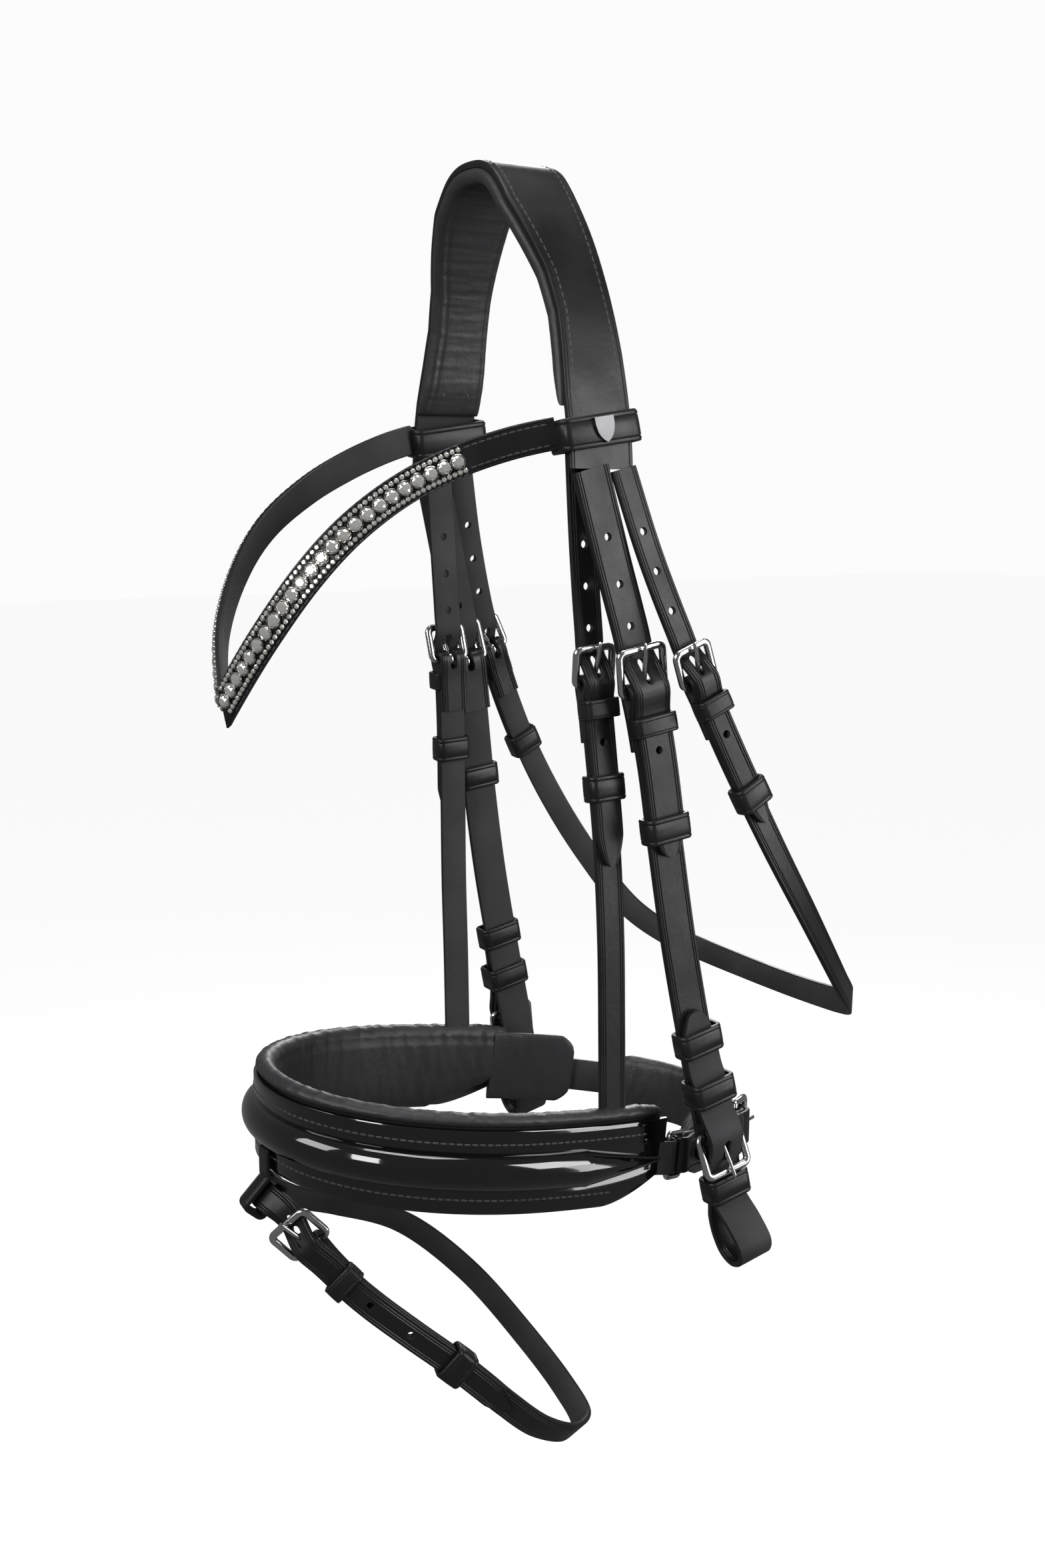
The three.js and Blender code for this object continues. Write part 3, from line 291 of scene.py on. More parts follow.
class Build:
    """Collects closed shells, in millimetres, into one object."""

    def __init__(self):
        self.verts, self.faces, self.mats, self.count = [], [], [], 0

    def add(self, verts, faces, mats=0):
        verts = np.asarray(verts, float)
        volume = 0.0
        for f in faces:
            a = verts[f[0]]
            for i in range(1, len(f) - 1):
                volume += np.dot(a, np.cross(verts[f[i]], verts[f[i + 1]]))
        if volume < 0:
            faces = [f[::-1] for f in faces]
        self.verts.append(verts)
        self.faces += [[i + self.count for i in f] for f in faces]
        self.mats += [mats] * len(faces) if isinstance(mats, int) else list(mats)
        self.count += len(verts)
        return self

    def rings(self, rings, mats=None, closed=False):
        """Rings of points, K x M x 3, joined one to the next. Open ends are capped."""
        rings = np.asarray(rings, float)
        k, m = rings.shape[:2]
        mats = [0] * m if mats is None else mats
        faces, kinds = [], []
        for i in range(k if closed else k - 1):
            a, b = i * m, ((i + 1) % k) * m
            for j in range(m):
                faces.append([a + j, a + (j + 1) % m, b + (j + 1) % m, b + j])
                kinds.append(mats[j])
        if not closed:
            faces += [list(range(m))[::-1], [(k - 1) * m + j for j in range(m)]]
            kinds += [0, 0]
        return self.add(rings.reshape(-1, 3), faces, kinds)

    def stamp(self, verts, faces, bases, positions, mats=0):
        """The same little shell at many places. bases is N x 3 x 3 with rows x, y, z."""
        verts = np.asarray(verts, float)
        for basis, position in zip(bases, positions):
            self.verts.append(verts @ basis + position)
            self.faces += [[i + self.count for i in f] for f in faces]
            self.mats += [mats] * len(faces) if isinstance(mats, int) else list(mats)
            self.count += len(verts)
        return self

    def finish(self, name, materials, mirror=False, sharp=0.6, cutters=None):
        verts = np.vstack(self.verts) * MM
        faces = self.faces
        if mirror:
            verts = verts * [-1, 1, 1]
            faces = [f[::-1] for f in faces]
        mesh = bpy.data.meshes.new(name)
        mesh.from_pydata(verts.tolist(), [], faces)
        for material in materials:
            mesh.materials.append(material)
        mesh.polygons.foreach_set("material_index", np.array(self.mats, np.int32))
        obj = bpy.data.objects.new(name, mesh)
        bpy.context.scene.collection.objects.link(obj)
        if cutters is not None and cutters.count:
            cut(obj, cutters.finish(name + "_cutter", [materials[-1]], mirror))
        obj.data.shade_smooth()
        obj.data.set_sharp_from_angle(angle=sharp)
        return obj


def cut(obj, cutter):
    modifier = obj.modifiers.new("cut", "BOOLEAN")
    modifier.operation, modifier.solver, modifier.object = "DIFFERENCE", "MANIFOLD", cutter
    graph = bpy.context.evaluated_depsgraph_get()
    graph.update()
    mesh = bpy.data.meshes.new_from_object(obj.evaluated_get(graph))
    obj.modifiers.clear()
    obj.data = mesh
    bpy.data.objects.remove(cutter)


def swept(stations, section, shape=None):
    """Rings of a section, M x 2 of [across, out], at each station. shape may change them."""
    x = np.tile(section[:, 0], (len(stations.d), 1))
    y = np.tile(section[:, 1], (len(stations.d), 1))
    if shape:
        x, y = shape(stations, x, y)
    sideways = stations.across[:, None] * x[..., None]
    return stations.p[:, None] + sideways + stations.out[:, None] * y[..., None]


def strap_section(width, thick, creases=(1.5, 2.6), radius=0.8):
    """A strap's outline with rounded edges and lines creased along its outer side; 1 marks the flesh side."""
    w, h = width / 2, thick / 2
    top = [w - radius]
    for c in creases:
        top += [w - c + 0.34, w - c, w - c - 0.34]
    half = [(x, h - (0.26 if i % 3 == 2 else 0.0)) for i, x in enumerate(top)]
    corner = [(w - radius + radius * math.sin(a), h - radius + radius * math.cos(a))
        for a in (0.4, 0.8, 1.2, 1.57)]
    lower = [(w, -h + 0.5), (w - 0.18, -h + 0.16), (w - 0.5, -h)]
    right = half[::-1] + corner + lower
    left = [(-x, y) for x, y in right[::-1]]
    points = right + [(0.0, -h)] + left + [(0.0, h)]
    marks = [0] * len(points)
    for i in range(len(right) - 1, len(right) + 2):
        marks[i] = 1
    return np.array(points), marks


POINT_SHARE = 0.16  # of a strap's width left at its rounded point


def tapered(tip):
    """Narrows a strap to a rounded point over its last stretch, or its first where tip is negative."""

    def shape(stations, x, y):
        left = stations.total - stations.d if tip > 0 else stations.d
        k = np.minimum(1, POINT_SHARE + (1 - POINT_SHARE) * np.sqrt(np.maximum(left, 0) / abs(tip)))
        return x * k[:, None], y

    return shape


def strap(build, line, path, size, tip=0, creases=(1.5, 2.6)):
    stations = Stations(line, path, fine_ends=abs(tip))
    section, marks = strap_section(size.width, size.thick, creases)
    build.rings(swept(stations, section, tapered(tip) if tip else None), marks)
    return stations


# ---- Stitches ----


def capsule(length, radius, sides=6, flat=0.7):
    rings = []
    for x, r in ((-0.5, 0.35), (-0.36, 0.85), (0, 1), (0.36, 0.85), (0.5, 0.35)):
        a = np.arange(sides) / sides * 2 * math.pi
        rings.append(np.stack([np.full(sides, x * length), np.cos(a) * r * radius,
            np.sin(a) * r * radius * flat], 1))
    m, k = sides, len(rings)
    faces = [[i * m + j, i * m + (j + 1) % m, (i + 1) * m + (j + 1) % m, (i + 1) * m + j]
        for i in range(k - 1) for j in range(m)]
    faces += [list(range(m))[::-1], [(k - 1) * m + j for j in range(m)]]
    faces = [f[::-1] for f in faces]
    return np.vstack(rings), faces


def stitches(build, stations, start, end, offset, height, pitch=3.3, length=2.6, radius=0.42):
    """A row of stitches along a sweep, offset across it, at a height out of it. offset may be a function."""
    count = max(1, int((end - start) / pitch))
    d = start + (np.arange(count) + 0.5) * (end - start) / count
    p, along, out, across = stations.at(d)
    x = offset(d) if callable(offset) else np.full(len(d), float(offset))
    position = p + across * x[:, None] + out * height
    before = stations.at(d - 0.6)[0] + across * (offset(d - 0.6) if callable(offset) else x)[:, None]
    along = unit(position - out * height - before)
    bases = np.stack([along, np.cross(out, along), out], 1)
    verts, faces = capsule(length, radius)
    build.stamp(verts, faces, bases, position, 0)


# ---- Small pieces ----


def at_line(line, s, n=0.0):
    p, t, out, b = (v[0] for v in line.frames(s))
    return p + out * n, b, out, t


def punch(build, line, s, n, radius=HOLE_RADIUS):
    p, b, out, t = at_line(line, s, n)
    a = np.arange(20) / 20 * 2 * math.pi
    circle = b * np.cos(a)[:, None] * radius + t * np.sin(a)[:, None] * radius
    build.rings([p + circle - out * 4.5, p + circle + out * 4.5])


def slot(build, line, start, end, n, height, width=2 * TONGUE_RADIUS + 1.6):
    """A long hole with round ends through a strap."""
    p, b, out, t = at_line(line, (start + end) / 2, n)
    r = width / 2
    reach = abs(end - start) / 2 - r
    a = np.arange(10) / 9 * math.pi
    side = np.concatenate([np.stack([np.cos(a) * r, np.sin(a) * r + reach], 1),
        -np.stack([np.cos(a) * r, np.sin(a) * r + reach], 1)])
    outline = b * side[:, :1] + t * side[:, 1:]
    build.rings([p + outline - out * height / 2, p + outline + out * height / 2])


def rounded_loop(width, height, radius, count=7, centre=0.0):
    """Points round a rounded rectangle and their outward directions."""
    points, normals = [], []
    for k, (sx, sy) in enumerate(((1, 1), (-1, 1), (-1, -1), (1, -1))):
        for i in range(count):
            a = (k + i / (count - 1)) * math.pi / 2
            normals.append((math.cos(a), math.sin(a)))
            points.append((sx * (width / 2 - radius) + radius * math.cos(a),
                sy * (height / 2 - radius) + radius * math.sin(a) + centre))
    return np.array(points), np.array(normals)


def band(build, line, s, width, low, high, length=RUNNER_LENGTH, wall=RUNNER_WALL):
    """A loop of leather round the layers of a strap, with two creased lines."""
    p, b, out, t = at_line(line, s)
    points, normals = rounded_loop(width + wall, high - low + wall, 1.15 * wall, 6, (low + high) / 2)
    section = [(-0.5, -0.42), (-0.5, 0.22), (-0.47, 0.4), (-0.42, 0.5)]
    section += [(-0.36, 0.5), (-0.33, 0.38), (-0.3, 0.5), (0, 0.52)]
    section = section + [(-x, y) for x, y in section[-2::-1]]
    rings = []
    for (x, y), (nx, ny) in zip(points, normals):
        rings.append([p + b * (x + nx * h * wall) + out * (y + ny * h * wall) + t * (l * length)
            for l, h in section])
    build.rings(rings, closed=True)


def buckle_geometry(size, seat):
    over = EYE_INNER + size.fold + GAP + size.thick / 2
    reach = size.buckle - RAIL / 2
    rise = seat.under - seat.bar + size.thick / 2 + GAP + BAR_HALF + 1
    tilt = math.asin(rise / reach)
    clear = BAR_HALF + TONGUE_RADIUS + GAP + 0.3
    return over, reach, tilt, tilt + math.asin(clear / reach)


def bar_basis(line, s, seat, direction, tilt):
    p, b, n, t = at_line(line, s)
    y = t * direction * math.cos(tilt) + n * math.sin(tilt)
    x = -b * direction
    return p + n * seat.bar, x, y, np.cross(x, y)


def buckle_frame(line, s, size, direction, seat):
    """A polished frame with rounded sides and a broad, gently crowned front bar."""
    tilt = buckle_geometry(size, seat)[2]
    o, x, y, z = bar_basis(line, s, seat, direction, tilt)
    inner = size.width + size.play
    mid = (size.buckle - BAR_HALF) / 2
    outer, _ = rounded_loop(inner + 2 * RAIL, size.buckle + BAR_HALF, 4, 9, mid)
    hole_top, hole_low = size.buckle - RAIL, BAR_HALF
    inside, _ = rounded_loop(inner, hole_top - hole_low, 1.3, 9, (hole_top + hole_low) / 2)
    angles = np.arange(16) / 16 * 2 * math.pi
    rings = []
    for a, c in zip(inside, outer):
        middle, half = (a + c) / 2, (c - a) / 2
        ring = []
        for angle in angles:
            u = math.copysign(abs(math.cos(angle)) ** 0.8, math.cos(angle))
            v = math.copysign(abs(math.sin(angle)) ** 0.8, math.sin(angle)) * BAR_HALF
            q = middle + half * u
            ring.append(o + x * q[0] + y * q[1] + z * v)
        rings.append(ring)
    return Build().rings(rings, closed=True)


def tube(build, points, radii, sides=12, squash=None):
    """A round bar along points; squash flattens it along a direction."""
    points = np.asarray(points, float)
    t = unit(np.gradient(points, axis=0))
    side = unit(np.cross(t, squash))
    up = np.cross(side, t)
    a = np.arange(sides) / sides * 2 * math.pi
    rings = [q + (s * np.cos(a)[:, None] + u * np.sin(a)[:, None]) * r
        for q, s, u, r in zip(points, side, up, radii)]
    build.rings(rings)


def tongue(line, s, size, direction, seat):
    _, reach, _, tilt = buckle_geometry(size, seat)
    o, x, y, z = bar_basis(line, s, seat, direction, tilt)
    build = Build()
    major, half = (EYE_INNER + EYE_OUTER) / 2, (EYE_OUTER - EYE_INNER) / 2
    rings = []
    for a in np.arange(24) / 24 * 2 * math.pi:
        radial = y * math.cos(a) + z * math.sin(a)
        angles = np.arange(10) / 10 * 2 * math.pi
        rings.append([o + radial * (major + half * math.cos(c)) + x * TONGUE_RADIUS * math.sin(c)
            for c in angles])
    build.rings(rings, closed=True)
    length = reach / math.cos(tilt) + 2.2
    u = np.linspace(0, 1, 16)
    start = EYE_INNER + 0.3
    rounded = np.clip(1 - ((u - 0.94) / 0.064).clip(0) ** 2, 0.05, 1)
    radii = TONGUE_RADIUS * (1.0 - 0.12 * u) * np.sqrt(rounded)
    points = [o + y * (start + (length - start) * k) + z * 0.35 * math.sin(k * math.pi) for k in u]
    tube(build, points, radii, squash=z)
    return build


def flat_seat(size):
    return Seat(0, 0, size.thick + 0.4)


def round_bar(s, bar, r, direction):
    return [[s + direction * r * math.cos(a), bar + r * math.sin(a)]
        for a in np.radians([-90, -45, 0, 45, 90])]


def fold_path(s, size, direction, bar=0.0, away=24):
    r = EYE_INNER + size.thick / 2
    under = bar - size.thick - 0.45
    return [[s - direction * away, under], [s - direction * 9, under - 0.1],
        *round_bar(s, bar, r, direction), [s - direction * 6, bar + r * 0.34], [s - direction * 10.5, bar]]


def over_path(s, size, direction, seat):
    over, reach = buckle_geometry(size, seat)[:2]
    return [[s + direction * (reach + 7), seat.under], [s + direction * (reach - 3), seat.under + 0.1],
        [s + direction * reach * 0.5, seat.bar + over * 0.5], [s + direction, seat.bar + over],
        [s - direction * 7.5, (seat.bar + seat.layer) / 2 + over * 0.4],
        [s - direction * 13, seat.layer + 0.15], [s - direction * 20, seat.layer]]


def tongue_slot(build, line, s, size, direction, seat, floor=-9.0):
    over, reach = buckle_geometry(size, seat)[:2]
    top = seat.bar + over * 1.6
    slot(build, line, s + direction * reach * 0.16, s + direction * reach * 0.76, (floor + top) / 2,
        top - floor)


def fold_slot(build, line, s, size, direction, bar=0.0, floor=-9.0):
    top = bar + EYE_INNER + size.fold + 0.1
    slot(build, line, s - direction * 4.4, s + direction * 8, (floor + top) / 2, top - floor)


# ---- Materials ----


def material(name, base, rough, bumps=(), metallic=0.0, tint=0.0, rough_vary=0.0, vary_scale=60,
    specular=0.5, **sockets):
    """A shader with layers of bump, each a kind, scale, strength and distance, and gentle variation."""
    m = bpy.data.materials.new(name)
    m.use_nodes = True
    nodes, links = m.node_tree.nodes, m.node_tree.links
    shader = nodes["Principled BSDF"]
    shader.inputs["Metallic"].default_value = metallic
    shader.inputs["Specular IOR Level"].default_value = specular
    shader.inputs["Base Color"].default_value = (*base, 1)
    shader.inputs["Roughness"].default_value = rough
    for key, value in sockets.items():
        shader.inputs[key.replace("_", " ")].default_value = value
    place = nodes.new("ShaderNodeTexCoord").outputs["Object"]

    def texture(kind, scale):
        if kind == "noise":
            node = nodes.new("ShaderNodeTexNoise")
            node.inputs["Detail"].default_value = 4
            out = node.outputs["Fac"]
        else:
            node = nodes.new("ShaderNodeTexVoronoi")
            node.feature = "DISTANCE_TO_EDGE" if kind == "cells" else "F1"
            out = node.outputs["Distance"]
        node.inputs["Scale"].default_value = scale
        links.new(place, node.inputs["Vector"])
        return out

    def ramp(source, low, high):
        node = nodes.new("ShaderNodeMapRange")
        node.inputs["From Min"].default_value, node.inputs["From Max"].default_value = 0.3, 0.7
        node.inputs["To Min"].default_value, node.inputs["To Max"].default_value = low, high
        links.new(source, node.inputs["Value"])
        return node.outputs["Result"]

    if rough_vary:
        links.new(ramp(texture("noise", vary_scale), rough - rough_vary, rough + rough_vary),
            shader.inputs["Roughness"])
    if tint:
        mix = nodes.new("ShaderNodeMix")
        mix.data_type = "RGBA"
        mix.inputs["A"].default_value = (*base, 1)
        mix.inputs["B"].default_value = (*[c * (1 + tint) + 0.002 for c in base], 1)
        links.new(ramp(texture("noise", vary_scale * 0.6), 0, 1), mix.inputs["Factor"])
        links.new(mix.outputs["Result"], shader.inputs["Base Color"])
    normal = None
    for kind, scale, strength, distance in bumps:
        bump = nodes.new("ShaderNodeBump")
        bump.inputs["Strength"].default_value, bump.inputs["Distance"].default_value = strength, distance
        links.new(texture(kind, scale), bump.inputs["Height"])
        if normal is not None:
            links.new(normal, bump.inputs["Normal"])
        normal = bump.outputs["Normal"]
    if normal is not None:
        links.new(normal, shader.inputs["Normal"])
    return m


LEATHER = material("bridle_leather", (0.009, 0.009, 0.010), 0.35,
    [("cells", 1400, 0.25, 0.0001), ("noise", 420, 0.16, 0.0003)],
    tint=0.5, rough_vary=0.07, specular=0.3)
FLESH = material("flesh_side", (0.030, 0.030, 0.032), 0.68,
    [("noise", 1500, 0.45, 0.0003), ("noise", 250, 0.2, 0.0004)],
    tint=0.5, rough_vary=0.06, specular=0.35)
LINING = material("padded_lining", (0.021, 0.021, 0.023), 0.47,
    [("cells", 1000, 0.35, 0.0002), ("noise", 260, 0.35, 0.0006)],
    tint=0.4, rough_vary=0.07)
PATENT = material("patent_leather", (0.0025, 0.0025, 0.003), 0.09, [("noise", 95, 0.05, 0.0005)],
    rough_vary=0.03,
    Coat_Weight=1.0, Coat_Roughness=0.03)
THREAD = material("thread", (0.036, 0.036, 0.038), 0.5, [("noise", 2600, 0.5, 0.0002)], tint=0.6)
STEEL = material("polished_steel", (0.66, 0.66, 0.67), 0.14, [("noise", 700, 0.035, 0.0002)], metallic=1.0,
    rough_vary=0.04,
    vary_scale=160)
SETTING = material("silver_setting", (0.42, 0.41, 0.39), 0.27, [("noise", 900, 0.1, 0.0002)], metallic=1.0,
    rough_vary=0.05)
BADGE_STEEL = material("badge_steel", (0.16, 0.16, 0.165), 0.42, [("noise", 600, 0.08, 0.0002)],
    metallic=1.0, rough_vary=0.05)
CRYSTAL = material("crystal", (0.9, 0.89, 0.85), 0.03, [("noise", 500, 0.02, 0.0002)], metallic=0.7,
    rough_vary=0.02,
    specular=0.9, Coat_Weight=1.0, Coat_Roughness=0.02, Coat_IOR=2.0)

STRAP_MATERIALS = [LEATHER, FLESH]

# ---- Bookkeeping ----


def place(obj, body, slot_name, *nodes):
    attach(obj, body)
    if nodes:
        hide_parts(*nodes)
    return obj


def leather(build, node, body, mirror=False, holes=None, materials=STRAP_MATERIALS):
    """A leather piece that replaces one CAD node and is named after it."""
    return place(build.finish(f"{node}_leather", materials, mirror, cutters=holes), body, "leather", node)


def thread(build, name, body, mirror=False):
    return place(build.finish(name, [THREAD], mirror), body, "leather")


def bend(obj, a, b, start, end, slot_name, *nodes):
    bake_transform(obj)
    if nodes:
        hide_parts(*nodes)
    return obj


def wrinkles(s, x, seed, along=0.9, across=0.35):
    """Smooth made-up folds, mostly across a strip, from -1 to 1."""
    value = 0
    for i in range(7):
        a = math.sin(seed * 12.9898 + i * 78.233) * 43758.5453
        phase = (a - math.floor(a)) * 2 * math.pi
        tilt = math.sin(seed * 3.1 + i * 1.7) * across
        drift = 0.8 * np.sin(0.11 * s * (i + 1) + phase)
        value = value + np.sin(s * along * (0.45 + 0.23 * i) + x * tilt + phase + drift) / (1 + 0.5 * i)
    return value / 2.2


# ---- Crown ----

CROWN_EDGES = np.array([[20, -18, 17], [-8, -17.4, 16.6], [-22, -13.9, 17.1], [-38, -9.6, 17.6],
    [-54, -7.9, 18.7],
    [-70, -8.6, 19.8], [-86, -9.7, 20.1], [-130, -10.2, 20.2]], float)[::-1]


def crown_edges(z):
    heights = CROWN_EDGES[:, 0]
    return np.interp(z, heights, CROWN_EDGES[:, 1]), np.interp(z, heights, CROWN_EDGES[:, 2])


def crown_path(end_z):
    end = crown_line.at_height(end_z, crown_line.length / 2)
    return [[crown_line.length - end, 0], [crown_line.length / 2, 0], [end, 0]]


def crown_wide(stations, x):
    front, rear = crown_edges(stations.p[:, 2])
    half = ((rear - front) / 2)[:, None]
    middle = ((rear + front) / 2)[:, None]
    return np.sign(x) * (half - (10 - np.abs(x))) * (np.abs(x) > 2.5) + x * (np.abs(x) <= 2.5) + middle


crown = Build()
crown_at = Stations(crown_line, crown_path(SPLIT_Z), turn=0.05, step=1.6)
section, marks = strap_section(20, CROWN_THICK, (1.9,))
crown.rings(swept(crown_at, section, lambda st, x, y: (crown_wide(st, x), y)), marks)
place(crown.finish("crown_leather_shell", STRAP_MATERIALS), "headpiece", "leather", "crown_leather")


def crown_row(inset, side, station):
    def offset(d):
        z = np.interp(d, station.d, station.p[:, 2])
        front, rear = crown_edges(z)
        narrow = np.clip((-z - 78) / 30, 0, 1) ** 2 * 9.0
        return (rear - inset - narrow) if side > 0 else (front + inset + narrow)
    return offset


rows = Build()
low_end = 18
for side in (-1, 1):
    stitches(rows, crown_at, low_end, crown_at.total - low_end, crown_row(3.7, side, crown_at),
        CROWN_THICK / 2 - 0.05)
thread(rows, "crown_stitches", "headpiece")

PAD_OUTLINE = [[9.3, 0], [10.4, -1.4], [10.3, -4], [8.7, -6], [4, -6.5], [-4, -6.5], [-8.8, -6.1],
    [-10.8, -4.2], [-10.9, -1.6], [-9.5, 0]]
PAD_TOP = -CROWN_THICK / 2 - 0.12


def smooth_outline(points, per_span=6):
    p = np.asarray(points, float)
    closed = catmull(np.vstack([p[-2:], p, p[:2]]), per_span)
    return closed[2 * per_span : -(2 * per_span) - 1 + per_span][: len(p) * per_span]


pad_section = smooth_outline(PAD_OUTLINE)
pad_section[:, 1] = np.minimum(pad_section[:, 1], 0)
pad_at = Stations(crown_line, crown_path(PAD_END_Z), turn=0.04, step=0.9, fine_ends=16)


def pad_shape(stations, x, y):
    left = np.minimum(stations.d, stations.total - stations.d)
    k = np.minimum(1, 0.3 + 0.7 * np.sqrt(np.maximum(left, 0) / 14))[:, None]
    wide = crown_wide(stations, x)
    d = stations.d[:, None]
    depth = np.clip(-y / 6.5, 0, 1)
    folds = wrinkles(d, x, 3.0, along=1.9) * 0.13 * depth
    channel = 0.55 * (np.exp(-((np.abs(x) - 6.2) / 0.7) ** 2)) * (y < -4)
    return wide + folds * np.sign(x) * (np.abs(x) > 8), PAD_TOP + (y + folds + channel) * k


padding = Build().rings(swept(pad_at, pad_section, pad_shape))
padding = place(padding.finish("crown_padding_soft", [LINING], sharp=1.2), "headpiece", "padded_lining",
    "crown_padding")

lining_rows = Build()
for offset in (-6.2, 6.2):
    middle = lambda d, o=offset: sum(crown_edges(np.interp(d, pad_at.d, pad_at.p[:, 2]))) / 2 + o
    stitches(lining_rows, pad_at, 8, pad_at.total - 8, middle, PAD_TOP - 6.0, pitch=3.6)
place(lining_rows.finish("crown_lining_stitches", [THREAD]), "headpiece", "padded_lining")

# ---- Browband ----

BROWBAND = Size(13, 2.6)
LOOP_Z, LOOP_WIDTH = -101, 33.2
loop_s = loop_line.at_height(LOOP_Z)
LOOP_LOW, LOOP_HIGH, LOOP_WALL = -7.7, CROWN_THICK / 2 + 3 * GAP, 2.2
for name, mirror in SIDES:
    loop = Build()
    band(loop, loop_line, loop_s, LOOP_WIDTH, LOOP_LOW, LOOP_HIGH, BROWBAND.width, LOOP_WALL)
    leather(loop, f"browband_loop_{name}", "browband", mirror, materials=[LEATHER])


def halves(obj):
    """Cuts a mesh at the middle plane and mirrors what is left."""
    bm = bmesh.new()
    bm.from_mesh(obj.data)
    geometry = bm.verts[:] + bm.edges[:] + bm.faces[:]
    bmesh.ops.bisect_plane(bm, geom=geometry, dist=1e-6, plane_co=(0, 0, 0), plane_no=(1, 0, 0),
        clear_inner=True)
    copy = bmesh.ops.duplicate(bm, geom=bm.verts[:] + bm.edges[:] + bm.faces[:])["geom"]
    verts = [g for g in copy if isinstance(g, bmesh.types.BMVert)]
    bmesh.ops.scale(bm, vec=(-1, 1, 1), verts=verts)
    bmesh.ops.reverse_faces(bm, faces=[g for g in copy if isinstance(g, bmesh.types.BMFace)])
    bmesh.ops.remove_doubles(bm, verts=bm.verts, dist=2e-5)
    bm.to_mesh(obj.data)
    bm.free()
    obj.data.shade_smooth()
    obj.data.set_sharp_from_angle(angle=0.6)
    return obj


arm_start = browband_line.where(1, -13.4)
arm = Build()
arm_end = browband_line.length
arm_path = [[arm_start, 0], [(arm_start + arm_end) / 2, 0], [arm_end, 0]]
arm_at = strap(arm, browband_line, arm_path, BROWBAND, creases=(1.2, 2.0))
place(halves(arm.finish("browband_leather", STRAP_MATERIALS)), "browband", "leather", "browband_strap")

arm_stop = browband_line.where(0, 0.0, 0, browband_line.length) - arm_start
gem_start = browband_line.where(1, -48) - arm_start
arm_rows = Build()
for offset in (-4.2, 4.2):
    stitches(arm_rows, arm_at, 3, gem_start - 1, offset, 1.25, pitch=3.0)
for offset in (-6.0, 6.0):
    stitches(arm_rows, arm_at, gem_start, arm_stop - 2, offset, 1.2, pitch=3.2, radius=0.36)


def gem(radius, height, sides=8):
    """A cut stone: table, crown facets, girdle, and a flat back."""
    def ring(r, z, turn=0.0):
        a = (np.arange(sides) + turn) / sides * 2 * math.pi
        return np.stack([np.cos(a) * r, np.sin(a) * r, np.full(sides, z)], 1)
    verts = np.vstack([ring(radius * 0.97, 0), ring(radius, height * 0.3),
        ring(radius * 0.8, height * 0.72, 0.5), ring(radius * 0.5, height)])
    m = sides
    faces = [list(range(m))[::-1], [3 * m + j for j in range(m)]]
    for j in range(m):
        k = (j + 1) % m
        faces += [[j, k, m + k, m + j], [m + j, m + k, 2 * m + j], [m + k, 2 * m + k, 2 * m + j]]
        faces += [[2 * m + j, 2 * m + k, 3 * m + k], [2 * m + j, 3 * m + k, 3 * m + j]]
    return verts, faces


def cup(radius, height, prongs=4):
    """A round setting with small claws over the stone's edge."""
    a = np.arange(24) / 24 * 2 * math.pi
    claw = np.where(np.cos(prongs * (a - math.pi / 4)) > 0.55, 1.0, 0.0)
    profile = [(radius * 0.9, -0.05), (radius * 1.04, 0.0), (radius * 1.06, height * 0.5),
        (radius * 0.96, height * 0.62), (radius * 0.93, height * 0.2)]
    verts = []
    for i, (r, z) in enumerate(profile):
        lift = claw * (height * 0.3 if i in (2, 3) else 0)
        pull = claw * (radius * 0.1 if i == 3 else 0)
        verts.append(np.stack([np.cos(a) * (r - pull), np.sin(a) * (r - pull), z + lift], 1))
    m, k = 24, len(profile)
    faces = [[i * m + j, i * m + (j + 1) % m, ((i + 1) % k) * m + (j + 1) % m, ((i + 1) % k) * m + j]
        for i in range(k) for j in range(m)]
    return np.vstack(verts), faces


stones, cups = Build(), Build()
BIG, SMALL = 2.95, 1.14
BIG_PITCH, SMALL_PITCH, SMALL_ROW = 6.15, 2.45, 4.2
MIDDLE_GAP = 0.6  # no stone sits nearer to the point of the V
base = 1.3 + 0.25
big_count = int(round((arm_stop - gem_start) / BIG_PITCH))
small_count = int(round((arm_stop - gem_start) / SMALL_PITCH))
for count, radius, height, offsets in ((big_count, BIG, 2.3, (0.0,)),
    (small_count, SMALL, 1.3, (-SMALL_ROW, SMALL_ROW))):
    d = gem_start + (np.arange(count) + 0.5) * (arm_stop - gem_start) / count
    p, along, out, across = arm_at.at(d)
    for offset in offsets:
        for mirror in (False, True):
            flip = np.array([-1.0 if mirror else 1.0, 1, 1])
            position = (p + across * offset + out * base) * flip
            sideways = np.abs(position[:, 0]) if mirror or offset == 0 else position[:, 0]
            keep = sideways > MIDDLE_GAP
            x, z = along * flip, out * flip
            bases = np.stack([x, np.cross(z, x), z], 1)[keep]
            jitter = np.sin(np.arange(count) * 2.3 + offset)[keep] * 0.12
            c, s = np.cos(jitter)[:, None], np.sin(jitter)[:, None]
            turned = np.stack([bases[:, 0] * c + bases[:, 1] * s, bases[:, 1] * c - bases[:, 0] * s,
                bases[:, 2]], 1)
            verts, faces = gem(radius, height)
            stones.stamp(verts, faces, turned, position[keep])
            verts, faces = cup(radius, height)
            cups.stamp(verts, faces, turned, position[keep])
for name, mirror in SIDES:
    thread(arm_rows, f"browband_stitches_{name}", "browband", mirror)
place(stones.finish("browband_stones", [CRYSTAL], sharp=0.15), "browband", "crystal", "browband_crystals")
place(cups.finish("browband_settings", [SETTING]), "browband", "steel")
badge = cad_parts["browband_badge"]
badge.data.materials.clear()
badge.data.materials.append(BADGE_STEEL)

